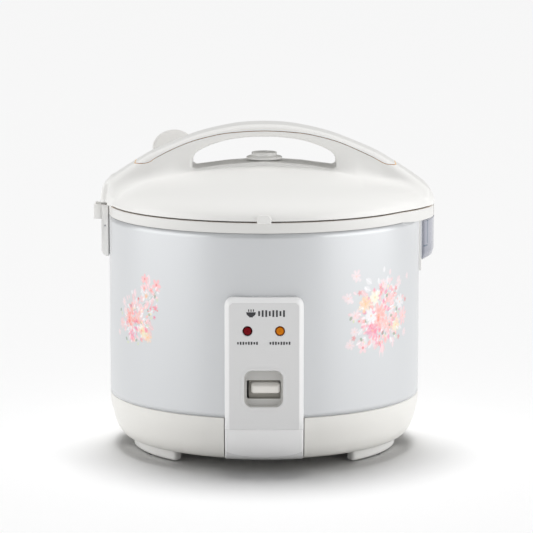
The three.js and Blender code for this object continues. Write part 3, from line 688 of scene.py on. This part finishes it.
class Print:
    """A picture painted on the case: u runs round the front, w up it."""

    def __init__(self, u, w, ground):
        self.u, self.w = u, w
        self.colour = np.empty((*u.shape, 3))
        self.colour[:] = ground

    def lay(self, cover, paint):
        cover = np.clip(cover, 0, 1)[..., None]
        self.colour = self.colour * (1 - cover) + paint * cover

    def near(self, u, w, reach):
        """Distance and direction from a place, or None where nothing is near."""
        du, dw = self.u - u, self.w - w
        if not (np.abs(du) + np.abs(dw) < 2 * reach).any():
            return None
        return np.hypot(du, dw), np.arctan2(dw, du)

    def blossom(self, u, w, r, paint, petals=6, turn=0.0, rings=3, strength=1.0):
        """A full ragged flower: rings of thin streaked petals, pale at the tips and deep at the root."""
        found = self.near(u, w, r)
        if not found:
            return
        d, a = found
        for ring in range(rings):
            size = r * (1.08 - 0.26 * ring)
            count = petals + 2 + ring
            spin = (a - turn - ring * 0.6) * count / math.tau
            petal = np.floor(spin)
            across = np.abs(spin - petal - 0.5) * 2
            which = (petal % count).astype(int)
            reach = RNG.uniform(0.72, 1.1, count)[which] * size
            tone = RNG.uniform(0, 1, count)[which]
            edge = reach * (1 - across ** 3 * 0.5)
            cover = np.clip((edge - d) / 0.9 + 0.5, 0, 1) * np.clip(1.3 - across, 0, 1)
            depth = np.clip(d / np.maximum(edge, 1e-6), 0, 1)
            streak = 0.5 + 0.5 * np.cos(a * count * 3 + 5 * tone)
            pale = np.clip(0.25 + 0.55 * depth * streak + 0.5 * (tone - 0.5), 0, 0.95)[..., None]
            tint = paint * (1 - pale) + WHITE * pale
            self.lay(cover * strength, tint)
            rim = np.clip(1 - np.abs(d - edge) / 0.7, 0, 1) * np.clip(1 - across, 0, 1)
            self.lay(rim * 0.35 * strength, paint * 0.92)
        heart = np.clip((0.15 * r - d) / 0.6 + 0.5, 0, 1)
        self.lay(heart * 0.6 * strength, ORANGE)

    def petals(self, u, w, spread, count, paints, size=3.0, strength=0.6):
        """Loose petals scattered round a place."""
        for _ in range(count):
            angle, out = RNG.uniform(0, math.tau), spread * math.sqrt(RNG.uniform(0, 1))
            self.leaf(u + out * math.cos(angle), w + out * math.sin(angle), size * RNG.uniform(0.7, 1.5),
                      angle + RNG.uniform(-0.6, 0.6), paints[RNG.integers(len(paints))], strength)

    def star(self, u, w, r, paint, strength=0.9, turn=0.3):
        """An open five-petalled flower."""
        found = self.near(u, w, r)
        if not found:
            return
        d, a = found
        wave = np.abs(np.cos((a - turn) * 2.5))
        edge = r * (0.3 + 0.7 * wave ** 0.8)
        self.lay(np.clip((edge - d) / 0.6 + 0.5, 0, 1) * strength, paint)
        self.lay(np.clip((0.22 * r - d) / 0.5 + 0.5, 0, 1) * strength, BUD)

    def leaf(self, u, w, length, turn, paint, strength=0.6):
        du, dw = self.u - u, self.w - w
        c, s = math.cos(turn), math.sin(turn)
        along, across = (du * c + dw * s) / length, (-du * s + dw * c) / length
        width = 0.34 * np.clip(1 - np.abs(2 * along) ** 2, 0, 1)
        cover = np.clip((width - np.abs(across)) * length / 0.5, 0, 1) * (np.abs(along) < 0.5)
        vein = np.exp(-(across * length / 0.3) ** 2)
        self.lay(cover * strength, paint[None, None] * (1 + 0.35 * vein[..., None]))

    def sprigs(self, places, length):
        """Pairs of leaves, a green one with a lime one beside it."""
        for u, w, turn in places:
            self.leaf(u, w, length, turn, LEAF)
            self.leaf(u + 3, w - 3, 4, turn + 0.7, LIME)

    def twig(self, points, paint, width=0.35, strength=0.5):
        for (ua, wa), (ub, wb) in zip(points, points[1:]):
            du, dw = ub - ua, wb - wa
            t = np.clip(((self.u - ua) * du + (self.w - wa) * dw) / (du * du + dw * dw), 0, 1)
            d = np.hypot(self.u - ua - t * du, self.w - wa - t * dw)
            self.lay(np.clip((width - d) / 0.4 + 0.5, 0, 1) * strength, paint)


def paint_right(p):
    """The large bunch on the right: loose petals first, then flowers, then petals over them."""
    p.petals(122, 146, 40, 90, (PALE_PINK, PINK, WHITE), 7, 0.45)
    p.petals(124, 142, 30, 110, (CORAL, PINK, MAGENTA, WHITE), 4.5, 0.6)
    p.petals(124, 140, 32, 30, (LEAF, YELLOW, RED), 2.6, 0.6)
    for u, w, r in ((82, 162, 6), (84, 118, 5), (91, 182, 6), (126, 172, 5), (152, 170, 4), (168, 174, 3),
                    (113, 120, 6), (90, 145, 6), (89, 130, 5), (162, 121, 4), (132, 121, 4)):
        p.blossom(u, w, r, PALE_PINK, 5, 0.4 * r, 2, 0.55)
    p.sprigs(((103, 139, 0.6), (135, 132, 2.4), (125, 125, 1.1), (138, 140, 0.2), (108, 151, 2.0),
              (143, 122, 2.9), (85, 143, 0.9), (97, 122, 2.2), (147, 145, 1.3), (131, 160, 0.7)), 5)
    p.star(99, 114, 6, PALE_PINK, 0.8)
    for flower in ((114, 160, 7, PALE_YELLOW, 6, 0.2, 3, 0.8), (102, 155, 8, ORANGE, 6, 0.9, 3, 0.85),
                   (138, 156, 6, PINK, 5, 0.4, 3, 0.85), (153, 151, 7, WHITE, 6, 0.1, 3, 0.8),
                   (119, 142, 13, CORAL, 8, 0.2, 4, 0.95), (111, 129, 9, MAGENTA, 6, 0.5, 3, 0.7),
                   (146, 130, 7, YELLOW, 6, 0.3, 3, 0.85), (159, 137, 8, PINK, 6, 0.8, 3, 0.8),
                   (130, 133, 7, CORAL, 6, 1.1, 3, 0.8), (109, 143, 8, WHITE, 7, 0.6, 3, 0.85)):
        p.blossom(*flower)
    p.petals(124, 142, 30, 30, (CORAL, PINK, MAGENTA, WHITE), 4.5, 0.55)
    p.petals(113, 128, 8, 18, (ROSE, ROSE, PINK), 3.6, 0.6)
    p.petals(122, 142, 6, 12, (DEEP_CORAL, CORAL), 3.6, 0.6)
    p.petals(106, 136, 7, 8, (ROSE, WHITE), 3.2, 0.6)
    for u, w in ((95, 166), (122, 168), (146, 165), (164, 152), (88, 124), (120, 116), (151, 118)):
        p.star(u, w, 2.6, BUD, 0.65, 0.1 * u)


def paint_left(p):
    """The small bunch on the left, with a twig that rises to the right."""
    p.petals(-140, 137, 25, 70, (PALE_PINK, PINK, WHITE), 6, 0.45)
    p.petals(-120, 166, 13, 30, (PALE_PINK, PINK, WHITE), 5, 0.45)
    p.twig([(-110, 166), (-118, 158), (-131, 150), (-150, 141)], LEAF, 0.3, 0.4)
    p.sprigs(((-149, 148, 0.5), (-125, 135, 1.9), (-132, 134, 2.7), (-140, 116, 0.4), (-158, 115, 2.5),
              (-112, 161, 1.2), (-170, 141, 0.9), (-120, 143, 0.3)), 4.6)
    p.star(-126, 176, 5, PINK, 0.85)
    p.star(-110, 172, 6, PINK, 0.85, 1.0)
    for u, w, r, paint in ((-162, 150, 4, PALE_PINK), (-160, 142, 4, PALE_PINK), (-174, 119, 3, PALE_PINK),
                           (-167, 129, 5, PINK), (-122, 121, 5, ORANGE), (-132, 146, 6, PINK),
                           (-148, 120, 6, MAGENTA)):
        p.blossom(u, w, r, paint, 5, 0.3 * r, 3, 0.75)
    p.blossom(-129, 126, 7, YELLOW, 6, 0.2, 3, 0.85)
    p.blossom(-150, 136, 9, CORAL, 7, 0.5, 4, 0.9)
    p.blossom(-136, 137, 7, CORAL, 6, 0.1, 3, 0.75)
    p.petals(-141, 134, 19, 80, (CORAL, PINK, MAGENTA, WHITE), 4, 0.6)
    p.petals(-118, 160, 13, 22, (PINK, PALE_PINK, WHITE), 3.4, 0.55)
    p.petals(-113, 148, 6, 12, (RED, ROSE, MAGENTA), 2.2, 0.65)
    p.petals(-150, 137, 5, 12, (DEEP_CORAL, CORAL), 3.6, 0.6)
    p.petals(-148, 121, 6, 10, (ROSE, PINK), 3.2, 0.6)
    p.petals(-136, 136, 22, 26, (LEAF, YELLOW, RED), 2.4, 0.6)
    for u, w, r, paint in ((-127, 167, 2.2, CORAL), (-117, 166, 2.6, CORAL), (-124, 160, 2.6, ORANGE),
                           (-136, 156, 1.8, RED), (-112, 150, 2.4, ROSE), (-113, 141, 2, MAGENTA),
                           (-118, 149, 1.8, ROSE)):
        p.star(u, w, r, paint, 0.75, 0.1 * u)


def build_case():
    """The printed case: a fine mesh where the flowers are, open behind the panel."""
    half_turn = math.pi * BODY_R
    around = grid_lines(-half_turn, half_turn, [(-180, -100, 0.6), (-30, 30, 5), (74, 174, 0.6)], 5)[:-1]
    up = grid_lines(SEAM_Z + 0.4, RING_BOTTOM - 0.4, [(62, 106, 5), (106, 190, 0.6)], 5)
    window_half, window_low, window_high = 29, 61.9, 158.5
    u, w = np.meshgrid(around, up, indexing="ij")
    p = Print(u, w, GROUND)
    paint_right(p)
    paint_left(p)
    angle = u / BODY_R - math.pi / 2
    points = np.stack([BODY_R * np.cos(angle), BODY_R * np.sin(angle), w], -1).reshape(-1, 3)
    rows, n = len(up), len(around)
    faces = []
    for i in range(n):
        j = (i + 1) % n
        for k in range(rows - 1):
            if abs(around[i] + 0.5) < window_half and window_low < up[k] and up[k + 1] < window_high:
                continue
            faces.append((i * rows + k, j * rows + k, j * rows + k + 1, i * rows + k + 1))
    case = piece("printed_case", points, faces, "cooker", PEARL, slot="pearl_steel", replaces=["outer_case"])
    layer = case.data.color_attributes.new("print", "FLOAT_COLOR", "POINT")
    rgba = np.ones((len(points), 4), np.float32)
    rgba[:, :3] = p.colour.reshape(-1, 3)
    layer.data.foreach_set("color", rgba.ravel())
    wall = case.modifiers.new("wall", "SOLIDIFY")
    wall.thickness = 1 * MM
    wall.offset = -1


def block_reach(angle):
    """How far out the ring goes at an angle from +X, hinge block included."""
    inner = BLOCK_R ** 2 - (BLOCK_X * math.sin(angle)) ** 2
    if math.cos(angle) <= 0 or inner < 0:
        return BODY_R
    return max(BODY_R, BLOCK_X * math.cos(angle) + math.sqrt(inner))


def build_ring():
    """A turned ring whose outer side is drawn out round the hinge block."""
    profile = rounded([
        (150, RING_BOTTOM, 0.3), (150, RING_TOP, 0.9), (126, RING_TOP, 2), (120, 232, 2), (110.5, 232, 0.4),
        (110.5, 229, 0.3), (119, 229, 2), (125.5, 232.6, 2), (146.4, 232.6, 0.3), (146.4, 220, 0.3),
        (148.4, 220, 0.3), (148.4, RING_BOTTOM, 0.2),
    ], 4)
    points, faces = turned_mesh(profile, 288)
    out = []
    for x, y, z in points:
        r, a = math.hypot(x, y), math.atan2(y, x)
        reach = block_reach(a) - BODY_R
        if r > 148.9 and z > 224:
            r += reach
            z -= 1.0 * min(1, reach / 6) if z < 227 else 0
        out.append((r * math.cos(a), r * math.sin(a), z))
    ring = piece("shoulder_ring_shell", out, faces, "cooker", RING_WHITE, slot="lid_plastic",
                 replaces=["shoulder_ring"])
    slots = [((153.2, y - 5.1, 225), (170, y + 5.1, 240), 0) for y in (-ARM_Y, ARM_Y)]
    carve(ring, [*slots, ((153.2, -5.2, 225.4), (163, 5.2, 240), 0)])
    trim("hinge_pin", STEEL, 0.2)
    trim("hinge_spring", SPRING, 0)


# The control panel.

SKIRT = [(141, 12.5), (149.8, 16.5), (155.4, 25), (158.5, 36), (PANEL_FRONT, 45.5)]
BODY_SIDE = [
    (0, 0), (128.5, 10.2), (137.9, 13.1), (144, 21.8), (147.7, 34.4), (149.8, 44), (150.3, 52.9),
    (150.3, 200), (0, 200),
]


def panel_outline(x, z):
    return rounded_rect(x, z, (-PANEL_HALF, -20), (PANEL_HALF, PANEL_TOP), PANEL_CORNER)


def panel_field(x, y, z):
    r = np.hypot(x, y)
    outline = panel_outline(x, z)
    dish = rounded_rect(x, z, *RECESS)
    fall = 3.3 * np.clip(1 + outline / 3.9, 0, 1) * np.clip((z - PANEL_CREASE) / 14, 0, 1)
    fall = fall - 0.7 * np.clip(1 - (z - PANEL_CREASE) / 6, 0, 1) ** 2
    lip = 0.6 * np.clip(1 - np.abs(dish - 1.2) / 1.5, 0, 1)
    front = -PANEL_FRONT + fall - lip - y
    upper = soft_max(outline, front, 0.6)
    upper = soft_max(upper, PANEL_CREASE - z, 0.8)
    skirt = polygon_field(r, z, [(100, 12.5), *smooth_line(SKIRT, 4), (100, 45.5)])
    skirt = soft_max(skirt, np.abs(x) - PANEL_HALF, 1.6)
    solid = soft_min(upper, skirt, 1.4)
    room = box_field(x, y, z, (-33.4, PANEL_INNER, 58), (33.4, -120, 162.4))
    solid = np.maximum(solid, -room)
    solid = np.minimum(solid, box_field(x, y, z, (-24, -156.6, 62), (23, -152.6, 105)))
    solid = np.maximum(solid, -polygon_field(r, z, BODY_SIDE))
    floor = -PANEL_FRONT + RECESS_DEPTH * np.clip(-dish / 1.5, 0, 1)
    solid = soft_max(solid, -np.maximum(dish, y - floor), 0.8)
    slot = np.maximum(rounded_rect(x, z, (-16, 73.1), (15.2, 90.4), 1.5), y + 140)
    solid = soft_max(solid, -slot, 0.3)
    for lamp_x in LAMPS.values():
        solid = soft_max(solid, -(np.hypot(x - lamp_x, z - LAMP_Z) - 4.6), 0.5)
    return solid


def printed_mark(edge):
    """A closed outline in (x, z) as a thin mark on the panel's face."""
    near, far = -PANEL_FRONT - 0.12, -PANEL_FRONT + 0.3
    n = len(edge)
    points = [(u, near, v) for u, v in edge] + [(u, far, v) for u, v in edge]
    faces = [list(range(n)), list(range(2 * n - 1, n - 1, -1))]
    faces += [[i, i + n, (i + 1) % n + n, (i + 1) % n] for i in range(n)]
    return points, faces


def bar(x, z, wide, high, r=0.3):
    u, v = wide / 2, high / 2
    corners = [(x - u, z - v, r), (x + u, z - v, r), (x + u, z + v, r), (x - u, z + v, r)]
    return printed_mark(rounded(corners, 3))


def joined(parts):
    points, faces = [], []
    for p, f in parts:
        faces += [[i + len(points) for i in face] for face in f]
        points += p
    return points, faces


def build_panel():
    """The panel's front is grey; its rim and skirt take a lighter grey as painted light, and the key's recess
    a darker grey as painted shade.
    """
    panel = carved("control_panel", panel_field, (-38, -161, 10), (38, -128, 169), 0.8, "cooker", PANEL_GREY,
                   slot="panel_plastic", replaces=["front_panel"])
    back, rim_width = -150, 4.4

    # The rim band and the skirt below the crease get the lighter grey, a painted highlight and painted light.
    def on_rim(x, y, z):
        return y < back and (panel_outline(x, z) > -rim_width or z < PANEL_CREASE)

    # Painted shade: the recess faces get the darker grey in place of the shade that falls in it.
    def in_recess(x, y, z):
        return -PANEL_FRONT + 0.9 < y < back and rounded_rect(x, z, *RECESS) < 0.3
    recolour(panel, RIM_LIGHT_GREY, on_rim)
    recolour(panel, RECESS_SHADE_GREY, in_recess)


def build_lamps():
    """Two domed lenses, each with a darker rim painted as the shade at the dome's edge, and the lamps behind
    them.
    """
    profile = rounded([(0, 0, 0), (0, 3.4, 3), (3.2, 2.9, 1.2), (4.25, 2.2, 0.4), (4.25, 0, 0)], 5)
    rim_start = 3.2
    looks = {"cooking": (LENS_RED, RED_RIM_SHADE, "lens_red"), "keep_warm": (LENS_AMBER, AMBER_RIM_SHADE, "lens_amber")}
    for name, x in LAMPS.items():
        inner, outer, slot = looks[name]
        points, faces = turned_mesh(profile, 48)
        points = [(x + u, PANEL_INNER - w, LAMP_Z + v) for u, v, w in points]
        lens = piece(f"lamp_lens_{name}", points, faces, "cooker", inner, slot=slot,
                     replaces=[f"lens_{name}"])
        # Faces beyond rim_start get the darker colour, painted edge shade.
        recolour(lens, outer, lambda u, v, w: math.hypot(u - x, w - LAMP_Z) > rim_start)
        trim(f"lamp_{name}", GLASS, 0.3)


def build_marks():
    """Rows of bars under the lamps, and a bowl with steam beside a row of bars above them."""
    for side, x in zip(("left", "right"), LAMPS.values()):
        marks = [bar(x - 8.75 + 2.5 * i, 125.8, 1.5, 2.9 if i % 3 else 2.2) for i in range(8)]
        points, faces = joined(marks)
        piece(f"caption_marks_{side}", points, faces, "cooker", INK, slot="dark_plastic")
    middle = -12
    right = [(4.5, 154.6), (4, 152.6), (2.8, 151.2), (1.7, 150.6), (1.7, 149.9)]
    bowl = printed_mark([(middle + x, z) for x, z in [*right, *mirrored(right)]])
    steam = [bar(middle + x, 156.2, 0.9, 2.2) for x in (-2.2, 0, 2.2)]
    row = [bar(3.25 * i - 4.6, 153.4, 1.7, 6.2 if i % 3 else 4.6) for i in range(8)]
    points, faces = joined([bowl, *steam, *row])
    piece("bowl_mark", points, faces, "cooker", INK, slot="dark_plastic")


def build_key():
    """The lever key with its sloping top, a dark shield behind the slot that stands for the slot's shade, and
    the arm behind.
    """
    def key(x, y, z):
        body = box_field(x, y, z, (-12.1, KEY_FRONT, 78.1), (14.7, -142.3, 88.5), 2.6)
        body = soft_max(body, ((z - 85) * 1.5 - (y - KEY_FRONT)) / 1.8, 0.8)
        shield = box_field(x, y, z, (-14.4, -149.8, 68), (18, -148.4, 97), 0.4)
        return np.minimum(body, shield)
    lever = carved("lever_key", key, (-19, -158, 66), (19, -141, 98), 0.6, "switch", KEY_WHITE,
                   slot="key_plastic", replaces=["switch_key"])
    # The shield's faces get the dark grey, a painted shade in the slot.
    recolour(lever, SLOT_SHADE_GREY, lambda x, y, z: y > -150.2)
    trim("switch_arm", DARK, 0.3)
    trim("switch_pin", STEEL, 0.2)
    trim("switch_bracket", STEEL, 0.2)


# Fittings on the outside.

def build_collector():
    """A smoky cup under the hinge block, with darker lines where its inner walls show through."""
    side = [(0, 185.3), (95.4, 185.3), (98.6, 187.6), (COLLECTOR_R, 192.5), (COLLECTOR_R, 223.5), (0, 223.5)]
    thick = 1.8
    floor = 199

    def cup(x, y, z, inset):
        round_side = polygon_field(np.hypot(x - BLOCK_X, y), z, side) + inset
        front = soft_max(150.2 + inset - x, np.abs(y) - 47 + inset, 2.5)
        notch = np.maximum(x - 153.2 - inset, np.abs(y) - 24.5 - inset)
        return soft_max(soft_max(round_side, front, 1.2), -notch, 0.8)

    def collector(x, y, z):
        hollow = np.maximum(cup(x, y, z, thick), floor - z)
        hollow = np.where(z > 218, np.maximum(cup(x, y, np.minimum(z, 215), thick), floor - z), hollow)
        return soft_max(cup(x, y, z, 0), -hollow, 0.5)
    smoky = carved("collector_cup", collector, (149, -48, 184), (166, 48, 225), 0.8, "collector", SMOKE,
                   slot="collector_plastic", replaces=["dew_collector"])

    def on_line(x, y, z):
        wall = z > floor + 2 and abs(abs(y) - 40.5) < 1.2
        ledge = abs(z - floor - 0.5) < 0.9 and abs(y) > 40
        return (wall or ledge) and math.hypot(x - BLOCK_X, y) > COLLECTOR_R - 0.8
    recolour(smoky, SMOKE_EDGE, on_line)
    plate = trim("collector_plate", LID_WHITE, 0.5)
    # Light passes through the cup, so neither it nor its plate darkens the case beside it.
    for obj in (smoky, plate):
        obj.visible_shadow = False
        obj.visible_diffuse = False
        obj.visible_glossy = False


def build_latch():
    trim("latch_bracket", LATCH_WHITE, 0.6)
    trim("latch_lever", LATCH_WHITE, 0.7)
    trim("latch_pin", STEEL, 0.2)
    trim("latch_spring", SPRING, 0)


def build_spatula():
    turns = [math.pi * i / 16 for i in range(17)]
    blade = [(24.7 * math.cos(a), 276 + 17 * math.sin(a)) for a in turns]
    left = smooth_line([
        (-24.6, 262), (-22.6, 228), (-16, 211), (-9, 198), (-8, 160), (-9, 118), (-6, 112.5), (0, 112),
    ], 3)
    edge = [*blade, *left, *mirrored(left[:-1])]
    c, s = math.cos(SPATULA_ANGLE), math.sin(SPATULA_ANGLE)

    def spatula(x, y, z):
        out, along = x * c + y * s, -x * s + y * c
        dish = 0.5 * np.clip((z - 215) / 40, 0, 1) * (1 - (along / 25) ** 2)
        return slab(polygon_field(along, z, edge), out - SPATULA_R - dish, 1.6, 1.3)
    u, v = SPATULA_R * c, SPATULA_R * s
    # The paddle is the lid's white plastic, darkened as painted shade.
    carved("rice_paddle", spatula, (u - 24, v - 20, 111), (u + 24, v + 20, 294), 1.2, "spatula", PADDLE_SHADED_WHITE,
           slot="lid_plastic", replaces=["rice_spatula"])
    trim("spatula_holder", LID_WHITE, 0.8)


def build_steam_cap():
    cap = turned("steam_vent_cap", rounded([
        (0, 282, 0), (8.8, 282, 0.5), (8.8, 266, 0.3), (10.8, 266, 0.3), (10.8, 278, 0.8), (17.25, 278, 0.8),
        (17.25, 280.1, 0.9), (14.5, 281, 1.5), (12.25, 281.6, 0.7), (12.25, 284.6, 1.3), (0, 284.9, 0),
    ], 5), "steam_vent", LID_WHITE, 96, slot="lid_plastic", replaces=["steam_cap"])
    carve(cap, [((8, -2.5, 276.2), (12, 2.5, 277.8), a) for a in (45, 135, 225, 315)])


def build_inlet():
    trim("power_inlet", DARK, 0.7)
    trim("inlet_pin_left", STEEL, 0.5)
    trim("inlet_pin_right", STEEL, 0.5)


# The inside.

LATHES = [
    ("cooking_pan", "inner_pan", "cooker", PAN_GREY, "pan_coating", [
        (0, 80.3, 0), (80, 80.3, 20), (91, 82.8, 14), (100, 89, 10), (106, 98.5, 12), (108, 110, 10),
        (108, 232.3, 0.6), (117.3, 232.3, 0.4), (117.3, 233.9, 0.5), (106.6, 233.9, 1.2), (106.2, 110, 10),
        (104.4, 99.3, 12), (98.8, 90.5, 10), (90.2, 84.5, 14), (80, 82.1, 20), (0, 82.1, 0)]),
    ("inner_lid_disc", "inner_lid", "lid", ALUMINIUM, "bare_aluminium", [
        (6, 238, 0.2), (104, 238, 3), (110.5, 235.6, 0.4), (110.5, 236.8, 0.4), (104, 239.2, 3),
        (6, 239.2, 0.2)]),
    ("inner_lid_seal", "inner_lid_gasket", "lid", SILICONE, "seal_rubber", [
        (110.8, 234.3, 0.5), (115.4, 234.3, 1.2), (116.8, 236, 1), (115, 238.2, 0.8), (110.8, 238.2, 0.4)]),
    ("inner_lid_nut", "inner_lid_knob", "lid", DARK, "dark_plastic", [
        (0, 234.2, 0), (8, 234.2, 0.8), (9, 235.2, 0.6), (9, 236.4, 0.6), (5.7, 237.6, 0.6),
        (5.7, 240.1, 0.2), (2.7, 240.1, 0.2), (2.7, 246, 0.3), (0, 246, 0)]),
    ("lid_lining", "lid_liner", "lid", BASE_CREAM, "base_plastic", [
        (13.6, 242, 0.4), (118, 242, 2), (124, 237.6, 2), (145, 237.6, 0.5), (145, 239.2, 0.5),
        (125, 239.2, 2), (119, 243.6, 2), (13.6, 243.6, 0.4)]),
    ("liner_case", "inner_case", "cooker", ALUMINIUM, "bare_aluminium", [
        (30, 50, 0.2), (121, 50, 1.5), (121, 228.5, 0.3), (120, 228.5, 0.3), (120, 51, 1), (30, 51, 0.2)]),
    ("heater_band", "side_heater_band", "cooker", STEEL, "polished_steel", [
        (121.4, 120, 0.2), (122.4, 120, 0.2), (122.4, 142, 0.2), (121.4, 142, 0.2)]),
    ("lid_warmer", "lid_heater", "lid", ALUMINIUM, "bare_aluminium", [
        (30, 244, 0.2), (112, 244, 0.2), (112, 244.8, 0.2), (30, 244.8, 0.2)]),
    ("sensor_button", "sensor_cap", "sensor", STEEL, "polished_steel", [
        (0, 77.6, 0), (14.2, 77.6, 0.5), (14.2, 66, 0.2), (16, 66, 0.3), (16, 78.8, 0.8), (15, 80, 0.8),
        (0, 80, 0)]),
    ("cast_heating_plate", "heating_plate", "cooker", ALUMINIUM, "bare_aluminium", [
        (20, 67, 0.5), (88, 67, 1), (88, 76.5, 1.5), (84.5, 80, 1.5), (20, 80, 0.6)]),
]
AS_MADE = {
    SPRING: ["sheath_heater", "sensor_spring", "handle_screw_left", "handle_screw_right"],
    ALUMINIUM: ["sensor_housing"],
    DARK: ["sensor_ferrite", "magnet_plunger", "micro_switch"],
    STEEL: ["keep_warm_thermostat"],
    CERAMIC: ["terminal_block", "thermal_fuse"],
    BOARD: ["lamp_board"],
    LID_WHITE: ["steam_duct"],
}


def build_inside():
    """The turned pieces, the plate's legs, and the CAD nodes that need only an edge and a material."""
    made = {}
    for name, node, body, material, slot, profile in LATHES:
        made[name] = turned(name, rounded(profile, 4), body, material, 128, slot=slot, replaces=[node])
    carve(made["inner_lid_disc"], (), [(x, y, 237, 240, 2) for x, y in spots(20, range(0, 360, 60))])
    leg = [(0, 51.3), (4, 51.3), (4, 67.4), (0, 67.4)]
    for i, place in enumerate(spots(78, (30, 150, 270))):
        turned(f"plate_leg_{i + 1}", leg, "cooker", ALUMINIUM, 32, place, slot="bare_aluminium")
    for material, nodes in AS_MADE.items():
        for node in nodes:
            trim(node, material, 0 if node in ("sheath_heater", "sensor_spring") else 0.25)


# Floor, light and camera.

def lamp(name, kind, power, lit):
    """A light that falls only on the things in a collection."""
    light = bpy.data.lights.new(name, kind)
    light.energy = power
    obj = added(name, light)
    obj.light_linking.receiver_collection = lit
    return obj


def softbox(name, place, power, lit):
    """A wide soft light beside the cooker."""
    target = Vector((0, 0, 0.15))
    obj = lamp(name, "AREA", power, lit)
    obj.data.shape = "RECTANGLE"
    obj.data.size = 2.4
    obj.data.size_y = 1.6
    obj.location = place
    obj.rotation_euler = (target - Vector(place)).to_track_quat("-Z", "Y").to_euler()


def sky(name, strength, spread, tilt, lit):
    """Soft light from above and a little behind, which leaves no highlight of its own."""
    obj = lamp(name, "SUN", strength, lit)
    obj.data.angle = math.radians(spread)
    obj.rotation_euler = (math.radians(tilt), 0, 0)
    obj.visible_glossy = False


def build_floor():
    half = 30
    mesh = bpy.data.meshes.new("floor")
    corners = [(-half, -half, 0), (half, -half, 0), (half, half, 0), (-half, half, 0)]
    mesh.from_pydata(corners, [], [(0, 1, 2, 3)])
    mesh.materials.append(surface("floor_paper", (0.96, 0.96, 0.96), 0.85, grain=0.02))
    floor = added("floor", mesh)
    return floor


def build_lights(floor):
    """The object and the floor have lights of their own, so that the floor stays even."""
    scene = bpy.context.scene
    scene.view_settings.view_transform = "Standard"
    world = bpy.data.worlds.new("studio")
    scene.world = world
    world.use_nodes = True
    set_inputs(world.node_tree.nodes["Background"], {"Color": (1, 1, 1, 1), "Strength": 0.2})
    cooker = bpy.data.collections.new("lit_by_softboxes")
    for thing in list(scene.objects):
        if thing.type == "MESH" and thing is not floor:
            cooker.objects.link(thing)
    ground = bpy.data.collections.new("lit_from_above")
    ground.objects.link(floor)
    sky("ceiling", 1.95, 45, -10, cooker)
    sky("floor_wash", 2.7, 26, -13, ground)
    softbox("softbox_left", (-1.85, -0.5, 0.6), 23, cooker)
    softbox("softbox_right", (1.85, -0.5, 0.65), 28, cooker)


def build_camera():
    """Looks straight along +Y and a little down."""
    down = 8.734
    camera = bpy.data.cameras.new("camera")
    camera.sensor_width = 36
    camera.lens = 184.5
    camera.clip_end = 100
    obj = added("camera", camera)
    obj.location = (0.002145, -2.62258, 0.57536)
    obj.rotation_euler = (math.radians(90 - down), 0, 0)
    bpy.context.scene.camera = obj


build_camera()
build_crown()
build_lid_arms()
build_base()
build_case()
build_ring()
build_panel()
build_lamps()
build_marks()
build_key()
build_collector()
build_latch()
build_spatula()
build_steam_cap()
build_inlet()
build_inside()
build_lights(build_floor())
